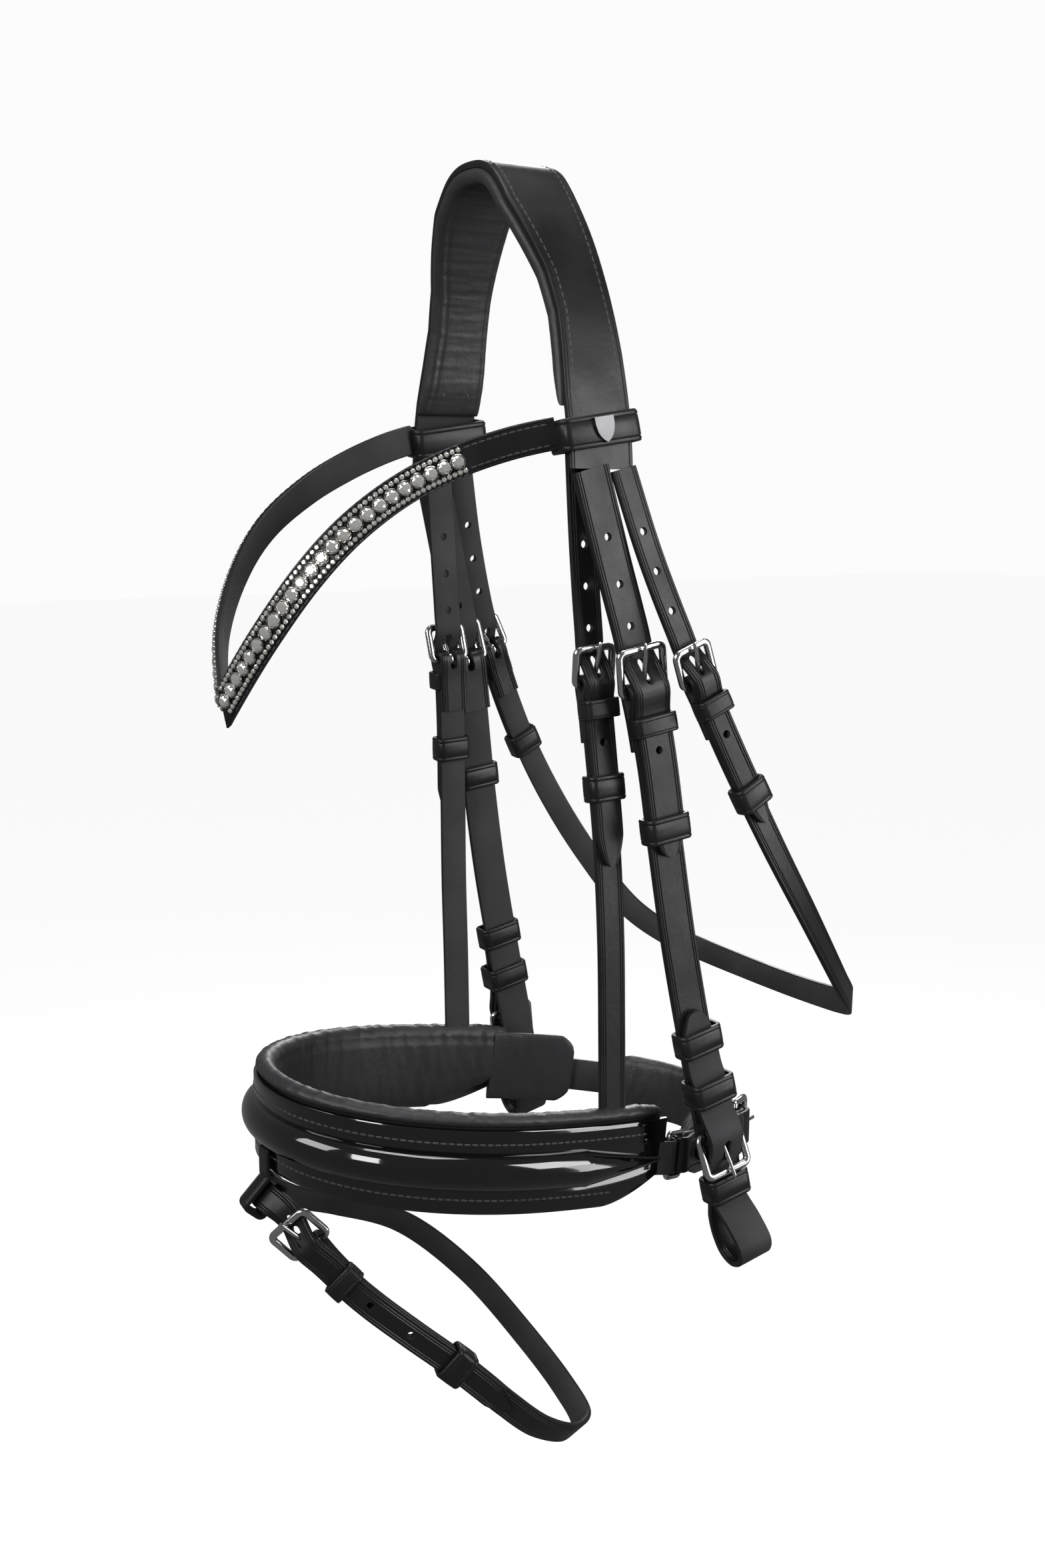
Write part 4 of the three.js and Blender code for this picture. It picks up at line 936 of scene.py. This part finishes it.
# ---- Buckled straps ----


def metal(build, name, mirror, body, node):
    return place(build.finish(name, [STEEL], mirror, sharp=0.9), body, "steel", node)


def buckle(kind, line, bar, size, direction, seat, body, side=("", False)):
    """A buckle's frame, and its tongue, which is a body of its own."""
    name, mirror = side
    node, pin = (f"{kind}_{part}_{name}".rstrip("_") for part in ("buckle", "tongue"))
    metal(buckle_frame(line, bar, size, direction, seat), f"{node}_frame", mirror, body, node)
    metal(tongue(line, bar, size, direction, seat), f"{pin}_pin", mirror, pin, pin)


def keeper(name, line, s, size, body, mirror=False, strap_n=0.0):
    """A keeper sewn to its strap: part of that strap in the CAD, a piece of its own here."""
    build = Build()
    low = strap_n - size.thick / 2 + 0.3
    band(build, line, s, size.width + 2 * GAP, low, strap_n + size.keeper_high, KEEPER_LENGTH, KEEPER_WALL)
    place(build.finish(f"{name}_leather", [LEATHER], mirror), body, "leather")


def add_buckled(kind, line, size, at, side, start, body, hinge):
    """A billet hanging from under the crown, with its buckle, tongue and runner."""
    name, mirror = side
    s = lambda z: line.at_height(z, 0, line.lowest)
    seat = flat_seat(size)
    bar = s(at["bar"])
    path = [[start, 0], *over_path(bar, size, -1, seat), [s(at["tip"]), seat.layer]]
    billet, holes = Build(), Build()
    strap(billet, line, path, size, TIP_LENGTH)
    for z in at["holes"]:
        punch(holes, line, s(z), 0 if z > at["bar"] else seat.layer)
    tongue_slot(holes, line, bar, size, -1, seat)
    flip = -1 if mirror else 1
    ends = [[flip * v[0], v[1], v[2]] for v in hinge]
    whole = billet.finish(f"{kind}_billet_{name}_leather", STRAP_MATERIALS, mirror, cutters=holes)
    bend(whole, "headpiece", body, *ends, "leather", f"{kind}_billet_{name}")
    buckle(kind, line, bar, size, -1, seat, body, side)
    runner = Build()
    band(runner, line, s(at["runner"]), size.width + 2 * GAP, -size.thick / 2 - 2 * GAP,
        seat.layer + size.thick / 2 + GAP + 0.1)
    leather(runner, f"{kind}_runner_{name}", f"{kind}_runner_{name}", mirror, materials=[LEATHER])


BIT_SEAT = Seat(4, 3.4, 4.9)
LOOP_LENGTH = 27.2
LOOP_ROUND = [[0, 0], [8, -2], [17.6, -1.5], [24.6, 1.8], [27.2, 7.4], [24.8, 13.8], [19, 16.4],
    [9.5, 11.4], [0, 3.6]]
for side in SIDES:
    name, mirror = side
    lift = FAR_BIT_LIFT if mirror else 0
    body = f"cheekpiece_{name}"
    add_buckled("cheek", cheek_line, CHEEK, CHEEK_AT, side, cheek_line.at_height(SPLIT_Z + 0.1), body,
        ([68, 0, -117], [70, 4, -137]))
    s = cheek_line.at_height
    bar, bit_bar = s(CHEEK_AT["bar"]), s(BIT_AT["bar"] + lift)
    loop = s(BIT_AT["loop"] + lift) - LOOP_LENGTH
    path = [*fold_path(bar, CHEEK, -1), [bar + 40, 0], [loop - 40, 0],
        *[[loop + a, n] for a, n in LOOP_ROUND], *over_path(bit_bar, BIT, 1, BIT_SEAT),
        [bit_bar - 23, BIT_SEAT.layer], [bit_bar - 30, CHEEK.thick + 0.5],
        [s(BIT_AT["tip"] + lift), CHEEK.thick + 0.5]]
    piece, holes, sewn = Build(), Build(), Build()
    at = strap(piece, cheek_line, path, CHEEK, TIP_LENGTH)
    fold_slot(holes, cheek_line, bar, CHEEK, -1)
    tongue_slot(holes, cheek_line, bit_bar, BIT, 1, BIT_SEAT, CHEEK.thick / 2 + 0.2)
    leather(piece, f"cheek_strap_{name}", body, mirror, holes)
    r = EYE_INNER + BIT.fold / 2
    chape, eye = Build(), Build()
    strap(chape, cheek_line, [[bit_bar - 5, 0.9], *round_bar(bit_bar, BIT_SEAT.bar, r, 1), [bit_bar - 7, 5],
        [bit_bar - 14, 2.4], [bit_bar - 23, 2.1]], Size(15, BIT.fold))
    fold_slot(eye, cheek_line, bit_bar, BIT, 1, BIT_SEAT.bar, 0.4)
    place(chape.finish(f"bit_chape_{name}_leather", STRAP_MATERIALS, mirror, cutters=eye), body, "leather")
    keeper(f"cheek_keeper_{name}", cheek_line, s(CHEEK_AT["keeper"]), CHEEK, body, mirror)
    fold_end = 24 + math.pi * (EYE_INNER + CHEEK.thick / 2)
    for offset in (-6.1, 6.1):
        stitches(sewn, at, fold_end + 10, fold_end + 26, offset, CHEEK.thick / 2 - 0.05)
    thread(sewn, f"cheek_stitches_{name}", body, mirror)
    buckle("bit", cheek_line, bit_bar, BIT, 1, BIT_SEAT, body, side)
    low = -CHEEK.thick / 2 - GAP
    for kind, height, ride_on in (("keeper_lower", 6.1, body), ("keeper_upper", 8.6, body),
        ("runner", 5.5, f"bit_runner_{name}")):
        loop_piece = Build()
        band(loop_piece, cheek_line, s(BIT_AT[kind.replace("keeper_", "")] + lift), CHEEK.width + 2 * GAP,
            low, height)
        leather(loop_piece, f"bit_{kind}_{name}", ride_on, mirror, materials=[LEATHER])

    # Noseband hanger
    s = hanger_line.at_height
    add_buckled("hanger", hanger_line, HANGER, HANGER_AT, side, s(HANGER_AT["top"]), "noseband",
        ([60, 0, -106], [60, 1, -128]))
    bar = s(HANGER_AT["bar"])
    piece, holes, sewn = Build(), Build(), Build()
    path = [*fold_path(bar, HANGER, -1), [bar + 60, 0], [s(HANGER_AT["end"]), 0]]
    at = strap(piece, hanger_line, path, HANGER)
    fold_slot(holes, hanger_line, bar, HANGER, -1)
    fold_end = 24 + math.pi * (EYE_INNER + HANGER.thick / 2)
    for offset in (-4.3, 4.3):
        stitches(sewn, at, fold_end + 9, fold_end + 26, offset, HANGER.thick / 2 - 0.05)
    leather(piece, f"hanger_strap_{name}", "noseband", mirror, holes)
    keeper(f"hanger_keeper_{name}", hanger_line, s(HANGER_AT["keeper"]), HANGER, "noseband", mirror)
    thread(sewn, f"hanger_stitches_{name}", "noseband", mirror)

    # Throatlatch end
    add_buckled("throat", throat_line, THROAT, THROAT_AT, side,
        throat_line.at_height(SPLIT_Z + 0.1, 0, throat_line.lowest),
        "throatlatch", ([68, 15, -117], [70, 19, -137]))

# ---- Throatlatch ----

throat_bar = throat_line.at_height(THROAT_AT["bar"], 0, throat_line.length / 2)
near_fold = fold_path(throat_bar, THROAT, -1)
far_fold = [[throat_line.length - a, n] for a, n in near_fold][::-1]
piece, holes, sewn = Build(), Build(), Build()
at = strap(piece, throat_line, [*near_fold, [throat_bar + 60, 0], [throat_line.length / 2, 0],
    [throat_line.length - throat_bar - 60, 0], *far_fold], THROAT)
fold_slot(holes, throat_line, throat_bar, THROAT, -1)
fold_slot(holes, throat_line, throat_line.length - throat_bar, THROAT, 1)
place(piece.finish("throatlatch_leather", STRAP_MATERIALS, cutters=holes), "throatlatch", "leather",
    "throatlatch_strap")
fold_end = 24 + math.pi * (EYE_INNER + THROAT.thick / 2)
for offset in (-3.9, 3.9):
    stitches(sewn, at, fold_end + 9, fold_end + 24, offset, THROAT.thick / 2 - 0.05)
    stitches(sewn, at, at.total - fold_end - 24, at.total - fold_end - 9, offset, THROAT.thick / 2 - 0.05)
thread(sewn, "throatlatch_stitches", "throatlatch")
throat_keeper = throat_line.at_height(THROAT_AT["keeper"], 0, throat_line.length / 2)
for name, s in (("near", throat_keeper), ("far", throat_line.length - throat_keeper)):
    keeper(f"throat_keeper_{name}", throat_line, s, THROAT, "throatlatch")

# ---- Noseband ----

HALF_HEIGHT = NOSE["height"] / 2
FLAT = NOSE["thick"] / 2
BEAD_HALF, BEAD_RISE = 7.8, 5.5


def shell_section():
    top = []
    for x in np.linspace(-HALF_HEIGHT + 0.7, -BEAD_HALF - 1.2, 6):
        top.append((x, FLAT))
    for x in np.linspace(-BEAD_HALF, BEAD_HALF, 25):
        rise = BEAD_RISE * math.sqrt(max(0.0, 1 - (x / BEAD_HALF) ** 2)) ** 1.1
        top.append((x, FLAT + rise - (0.25 if abs(x) > BEAD_HALF - 0.1 else 0)))
    for x in np.linspace(BEAD_HALF + 1.2, HALF_HEIGHT - 0.7, 6):
        top.append((x, FLAT))
    ring = [(HALF_HEIGHT - 0.2, FLAT - 0.25), (HALF_HEIGHT, 0.3), (HALF_HEIGHT, -0.8),
        (HALF_HEIGHT - 0.4, -FLAT)]
    back = [(HALF_HEIGHT - 6, -FLAT), (0, -FLAT), (-HALF_HEIGHT + 6, -FLAT)]
    points = top + ring + back + [(-x, y) for x, y in ring[::-1]]
    marks = [0] * len(points)
    for i in range(len(top) + 3, len(top) + len(ring) + 3):
        marks[i] = 1
    return np.array(points), marks


def shell_shape(stations, x, y):
    left = np.minimum(stations.d, stations.total - stations.d)[:, None]
    bead = np.minimum(1, 0.06 + left / 48)
    lift = 13 * np.maximum(0, 1 - left / 34) ** 1.5
    raised = (np.abs(x) <= BEAD_HALF + 1.3) & (y > 0)
    narrow = np.where(raised, x * bead, x)
    high = np.where(raised & (y > FLAT), FLAT + (y - FLAT) * bead, y)
    pulled = np.where(~raised & (x > 0), x - lift * np.clip(x / HALF_HEIGHT, 0, 1), narrow)
    return pulled, high


shell_start = nose_at(SHELL_END_Y)
shell_path = [[shell_start, 0], [nose_line.length / 2, 0], [nose_line.length - shell_start, 0]]
shell_at = Stations(nose_line, shell_path, turn=0.03, step=1.5)
section, marks = shell_section()
shell = Build().rings(swept(shell_at, section, shell_shape), marks)
ring_s = nose_at(RING_Y)
tab_path = [[ring_s + 14, 0], [ring_s + 8, 0.3], [ring_s + 4, 1.9],
    *round_bar(ring_s, 0, EYE_INNER + 0.8, -1)[::-1], [ring_s + 5, -2.6]]
place(shell.finish("noseband_patent", [PATENT, FLESH], sharp=0.7), "noseband", "patent_leather",
    "noseband_shell")
for name, mirror in SIDES:
    tab = Build()
    strap(tab, nose_line, tab_path, Size(15, 1.6), creases=(1.3,))
    place(tab.finish(f"noseband_tab_{name}", STRAP_MATERIALS, mirror), "noseband", "leather")

sewn = Build()
for offset, ends in ((-12.0, 12), (11.7, 30)):
    stitches(sewn, shell_at, ends, shell_at.total - ends, offset, FLAT - 0.02, pitch=3.2, radius=0.5)
thread(sewn, "noseband_stitches", "noseband")

PADDING = [[17, -1.9], [17.8, -4], [15.5, -7.2], [8, -9], [-10, -9.2], [-20, -8.2], [-23.5, -5.4],
    [-23.4, -1.8], [-21.2, 0.3], [-19.2, -0.5], [-18.2, -1.9]]
nose_section = smooth_outline(PADDING)
nose_section[:, 1] = np.where(nose_section[:, 0] > -18.4, np.minimum(nose_section[:, 1], -1.6),
    nose_section[:, 1])


def nose_pad_shape(stations, x, y):
    left = np.minimum(stations.d, stations.total - stations.d)[:, None]
    k = np.minimum(1, 0.5 + 0.5 * np.sqrt(np.maximum(left, 0) / 12))
    d = stations.d[:, None]
    top = -HALF_HEIGHT - 1.2
    back = np.clip((-2.2 - y) / 5, 0, 1)
    roll = np.clip((-17 - x) / 4, 0, 1)
    folds = wrinkles(d, x, 1.0, along=1.25) * (0.24 * back + 0.3 * roll)
    channel = 0.7 * np.exp(-((x + 17.5) / 0.9) ** 2) * (y < -3)
    ny = -1.9 + (y + folds * np.where(y < -3, 1, 0.4) + channel + 1.9) * k
    nx = np.where(x < top, top + (x - folds * roll - top) * k,
        np.where(x > 0, x * (0.08 + 0.92 * np.minimum(1, left / 40)), x))
    return nx, ny


pad_start = nose_at(SHELL_END_Y - 1.5)
nose_path = [[pad_start, 0], [nose_line.length / 2, 0], [nose_line.length - pad_start, 0]]
nose_pad_at = Stations(nose_line, nose_path, turn=0.03, step=0.95, fine_ends=14)
pad = Build().rings(swept(nose_pad_at, nose_section, nose_pad_shape))
pad = place(pad.finish("noseband_padding_soft", [LINING], sharp=1.2), "noseband", "padded_lining",
    "noseband_padding")
far_length = lambda y: nose_line.length - nose_at(y)


def soft_outline(width, thick, power=0.55, count=36):
    a = np.arange(count) / count * 2 * math.pi
    wave = lambda v: np.sign(v) * np.abs(v) ** power
    return np.stack([wave(np.cos(a)) * width / 2, wave(np.sin(a)) * thick / 2], 1)


FLAP_WIDTH, FLAP_THICK, FLAP_UP = 34, 3.6, 4
flap_at = Stations(nose_line, [[far_length(29), -6.9], [far_length(50), -6.9], [far_length(71), -6.9]],
    step=1.0)


def flap_shape(stations, x, y):
    left = (stations.total - stations.d)[:, None]
    k = np.minimum(1, 0.55 + 0.45 * np.sqrt(np.maximum(left, 0) / 7))
    folds = wrinkles(stations.d[:, None], x, 5.0, along=1.3) * 0.18
    return x * k - FLAP_UP, (y + np.sign(y) * folds * (np.abs(y) > 1)) * np.minimum(1, 0.6 + left / 10)


flap = Build().rings(swept(flap_at, soft_outline(FLAP_WIDTH, FLAP_THICK), flap_shape))
flap = place(flap.finish("noseband_flap_soft", [LINING], sharp=1.2), "noseband", "padded_lining")

# Square rings between the noseband and the chin strap
RING_INSIDE, RING_BARS, RING_THICK, RING_WIRE = 17.2, 8.6, 2.6, 1.28
ring_middle = jaw_line.where(1, RING_Y, jaw_line.length / 2) - RING_BARS / 2
for name, mirror in SIDES:
    p, b, out, t = at_line(jaw_line, ring_middle)
    points, normals = rounded_loop(RING_INSIDE + RING_THICK, RING_BARS, 1.5, 5)
    rings = []
    for (x, y), (nx, ny) in zip(points, normals):
        wire = []
        for a in np.arange(12) / 12 * 2 * math.pi:
            reach = math.cos(a) * RING_WIRE
            wire.append(p + b * (x + nx * reach) + t * (y + ny * reach) + out * math.sin(a) * RING_WIRE)
        rings.append(wire)
    metal(Build().rings(rings, closed=True), f"chin_ring_{name}_square", mirror, "noseband",
        f"chin_ring_{name}")

# ---- Chin strap ----

CHIN_FLAT = 0.66  # where the strap lies flat, as a share of the way to its ring
chin_seat = flat_seat(CHIN)
chin_bar = jaw_at(CHIN_AT["bar"])
near_ring = ring_middle - RING_BARS / 2
far_ring = jaw_line.length - near_ring
piece, holes, sewn = Build(), Build(), Build()
at = strap(piece, jaw_line, [*fold_path(chin_bar, CHIN, -1, 0, 17),
    [chin_bar + (near_ring - chin_bar) * CHIN_FLAT, 0],
    *fold_path(near_ring, CHIN, 1, 0, 14)[::-1]], CHIN, creases=(1.4,))
fold_slot(holes, jaw_line, chin_bar, CHIN, -1)
fold_end = 17 + math.pi * (EYE_INNER + CHIN.thick / 2)
for offset in (-5.6, 5.6):
    stitches(sewn, at, fold_end + 6, at.total - fold_end, offset, CHIN.thick / 2 - 0.05)
leather(piece, "chin_strap", "noseband", holes=holes)
keeper("chin_keeper", jaw_line, jaw_at(CHIN_AT["keeper"]), CHIN, "noseband")
thread(sewn, "chin_stitches", "noseband")

jaw_back = jaw_line.length / 2
piece, holes = Build(), Build()
strap(piece, jaw_line, [*fold_path(far_ring, CHIN, -1, 0, 14), [far_ring + 30, -2.2], [jaw_back - 20, -2.4],
    [chin_bar - 40, -2.2], *over_path(chin_bar, CHIN, -1, chin_seat),
    [jaw_at(CHIN_AT["tip"]), chin_seat.layer + 0.3]], CHIN, TIP_LENGTH)
tongue_slot(holes, jaw_line, chin_bar, CHIN, -1, chin_seat)
punch(holes, jaw_line, chin_bar - 34, -2)
punch(holes, jaw_line, jaw_at(CHIN_AT["hole"]), chin_seat.layer)
leather(piece, "chin_billet", "noseband", holes=holes)
buckle("chin", jaw_line, chin_bar, CHIN, -1, chin_seat, "noseband")

CHIN_PAD = [[13, 0], [15, -2.5], [13.5, -6], [6, -7.5], [-6, -7.5], [-13.5, -6], [-15, -2.5], [-13, 0]]
chin_section = smooth_outline(CHIN_PAD)
chin_section[:, 1] = np.minimum(chin_section[:, 1], 0)
chin_at = Stations(jaw_line, [[jaw_line.length - jaw_at(86), 0], [jaw_back, 0], [jaw_at(60), 0]], step=1.0,
    fine_ends=14)


def chin_shape(stations, x, y):
    left = np.minimum(stations.d, stations.total - stations.d)[:, None]
    k = np.minimum(1, 0.45 + 0.55 * np.sqrt(np.maximum(left, 0) / 14))
    folds = wrinkles(stations.d[:, None], x, 8.0, along=1.3) * 0.28 * np.clip(-y / 5, 0, 1)
    return x * k, -4.3 + (y + folds) * k


chin_pad = Build().rings(swept(chin_at, chin_section, chin_shape))
chin_pad = place(chin_pad.finish("chin_pad_soft", [LINING], sharp=1.2), "noseband", "padded_lining",
    "chin_pad")

# ---- Flash ----

FLASH_SEAT = Seat(-FLASH.thick - 0.4, -2, 0)
flash_bar = flash_first(FLASH_AT["bar"])
second_bar = flash_second(FLASH_AT["bar"])
flash_middle = (flash_bar + second_bar) / 2
tab_s = flash_line.where(0, 0, 0, flash_line.length * 0.4)
piece, holes = Build(), Build()
strap(piece, flash_line, [[flash_first(FLASH_AT["tip"]), 0], [flash_first(FLASH_AT["runner"]), 0],
    *over_path(flash_bar, FLASH, 1, FLASH_SEAT)[::-1], [tab_s, 0], [flash_middle - 60, 0],
    [flash_middle + 40, FLASH_SEAT.bar * 0.6], [flash_second(FLASH_AT["tip"]) - 20, FLASH_SEAT.bar],
    [flash_second(FLASH_AT["runner"]), FLASH_SEAT.bar],
    *fold_path(second_bar, FLASH, 1, FLASH_SEAT.bar, 22)[::-1]], FLASH, -TIP_LENGTH)
for z in FLASH_AT["holes"]:
    punch(holes, flash_line, flash_first(z), 0)
tongue_slot(holes, flash_line, flash_bar, FLASH, 1, FLASH_SEAT)
fold_slot(holes, flash_line, flash_bar, FLASH, 1, FLASH_SEAT.bar, -11)
leather(piece, "flash_strap", "flash", holes=holes)
keeper("flash_keeper", flash_line, flash_first(FLASH_AT["keeper"]), FLASH, "flash", strap_n=FLASH_SEAT.bar)
buckle("flash", flash_line, flash_bar, FLASH, 1, FLASH_SEAT, "flash")
runner = Build()
band(runner, flash_line, flash_first(FLASH_AT["runner"]), FLASH.width + 2 * GAP,
    FLASH_SEAT.bar - FLASH.thick / 2 - 3 * GAP, FLASH.thick / 2 + 2 * GAP)
leather(runner, "flash_runner", "flash_runner", materials=[LEATHER])

tab = Build()
band(tab, flash_line, tab_s, FLASH.width + 3.2, -4.8, 3.7, 7.6, 2)
plate = soft_outline(9, 2, 0.4, 24)
levels = ((-411.8, 0.9), (-411.4, 1), (-399.8, 1), (-399.1, 0.85))
tab.rings([[(x, -119.1 + y, z) for x, y in plate * k] for z, k in levels])
leather(tab, "flash_tab", "noseband", materials=[LEATHER])

# ---- Floor and light ----

FLOOR_Z, STAGE_HALF = -0.95, 12.0


def staged(name, verts, faces, look):
    """Part of the plain pale studio: seen, but not mirrored in the leather."""
    mesh = bpy.data.meshes.new(name)
    mesh.from_pydata(verts, [], faces)
    mesh.materials.append(look)
    obj = bpy.data.objects.new(name, mesh)
    bpy.context.scene.collection.objects.link(obj)
    obj.visible_glossy = obj.visible_diffuse = obj.visible_transmission = False
    return obj


CORNERS = ((-1, -1), (1, -1), (1, 1), (-1, 1))
floor_look = material("pale_floor", (0.1, 0.1, 0.1), 0.85, tint=0.02, specular=0.05,
    Emission_Color=(1, 1, 1, 1),
    Emission_Strength=0.93)
staged("floor", [(x * STAGE_HALF, y * STAGE_HALF, FLOOR_Z) for x, y in CORNERS], [(0, 1, 2, 3)], floor_look)
wall_look = material("pale_wall", (0, 0, 0), 1.0, specular=0.0, Emission_Color=(1, 1, 1, 1),
    Emission_Strength=0.97)
walls = [(x * STAGE_HALF, y * STAGE_HALF, z) for z in (FLOOR_Z - 0.01, STAGE_HALF) for x, y in CORNERS]
studio = staged("studio_walls", walls, [(0, 1, 5, 4), (1, 2, 6, 5), (2, 3, 7, 6), (3, 0, 4, 7),
    (4, 5, 6, 7)], wall_look)
studio.visible_shadow = False

world = bpy.data.worlds.new("world")
bpy.context.scene.world = world
world.use_nodes = True
world.node_tree.nodes["Background"].inputs["Color"].default_value = (0.97, 0.975, 0.985, 1)
world.node_tree.nodes["Background"].inputs["Strength"].default_value = 0.15


def area_light(name, position, target, width, height, power):
    data = bpy.data.lights.new(name, "AREA")
    data.shape, data.size, data.size_y, data.energy = "RECTANGLE", width, height, power
    light = bpy.data.objects.new(name, data)
    bpy.context.scene.collection.objects.link(light)
    light.location = position
    light.rotation_euler = (Vector(target) - Vector(position)).to_track_quat("-Z", "Y").to_euler()


MIDDLE = (0, 0, -0.28)
area_light("key", (-0.2, -2.2, 1.1), MIDDLE, 1.2, 1.2, 22)
area_light("window_left", (0.80, -1.15, 0.22), MIDDLE, 0.42, 0.62, 8)
area_light("window_right", (1.0, 0.68, 0.15), MIDDLE, 0.45, 0.62, 6.5)
area_light("top", (0.1, 0.1, 1.7), MIDDLE, 1.0, 1.0, 18)
area_light("back", (-1.4, 1.3, 0.6), MIDDLE, 0.9, 0.9, 22)
area_light("straps", (1.5, 1.4, -0.45), MIDDLE, 0.7, 0.9, 10)
bpy.context.scene.view_settings.view_transform = "Standard"
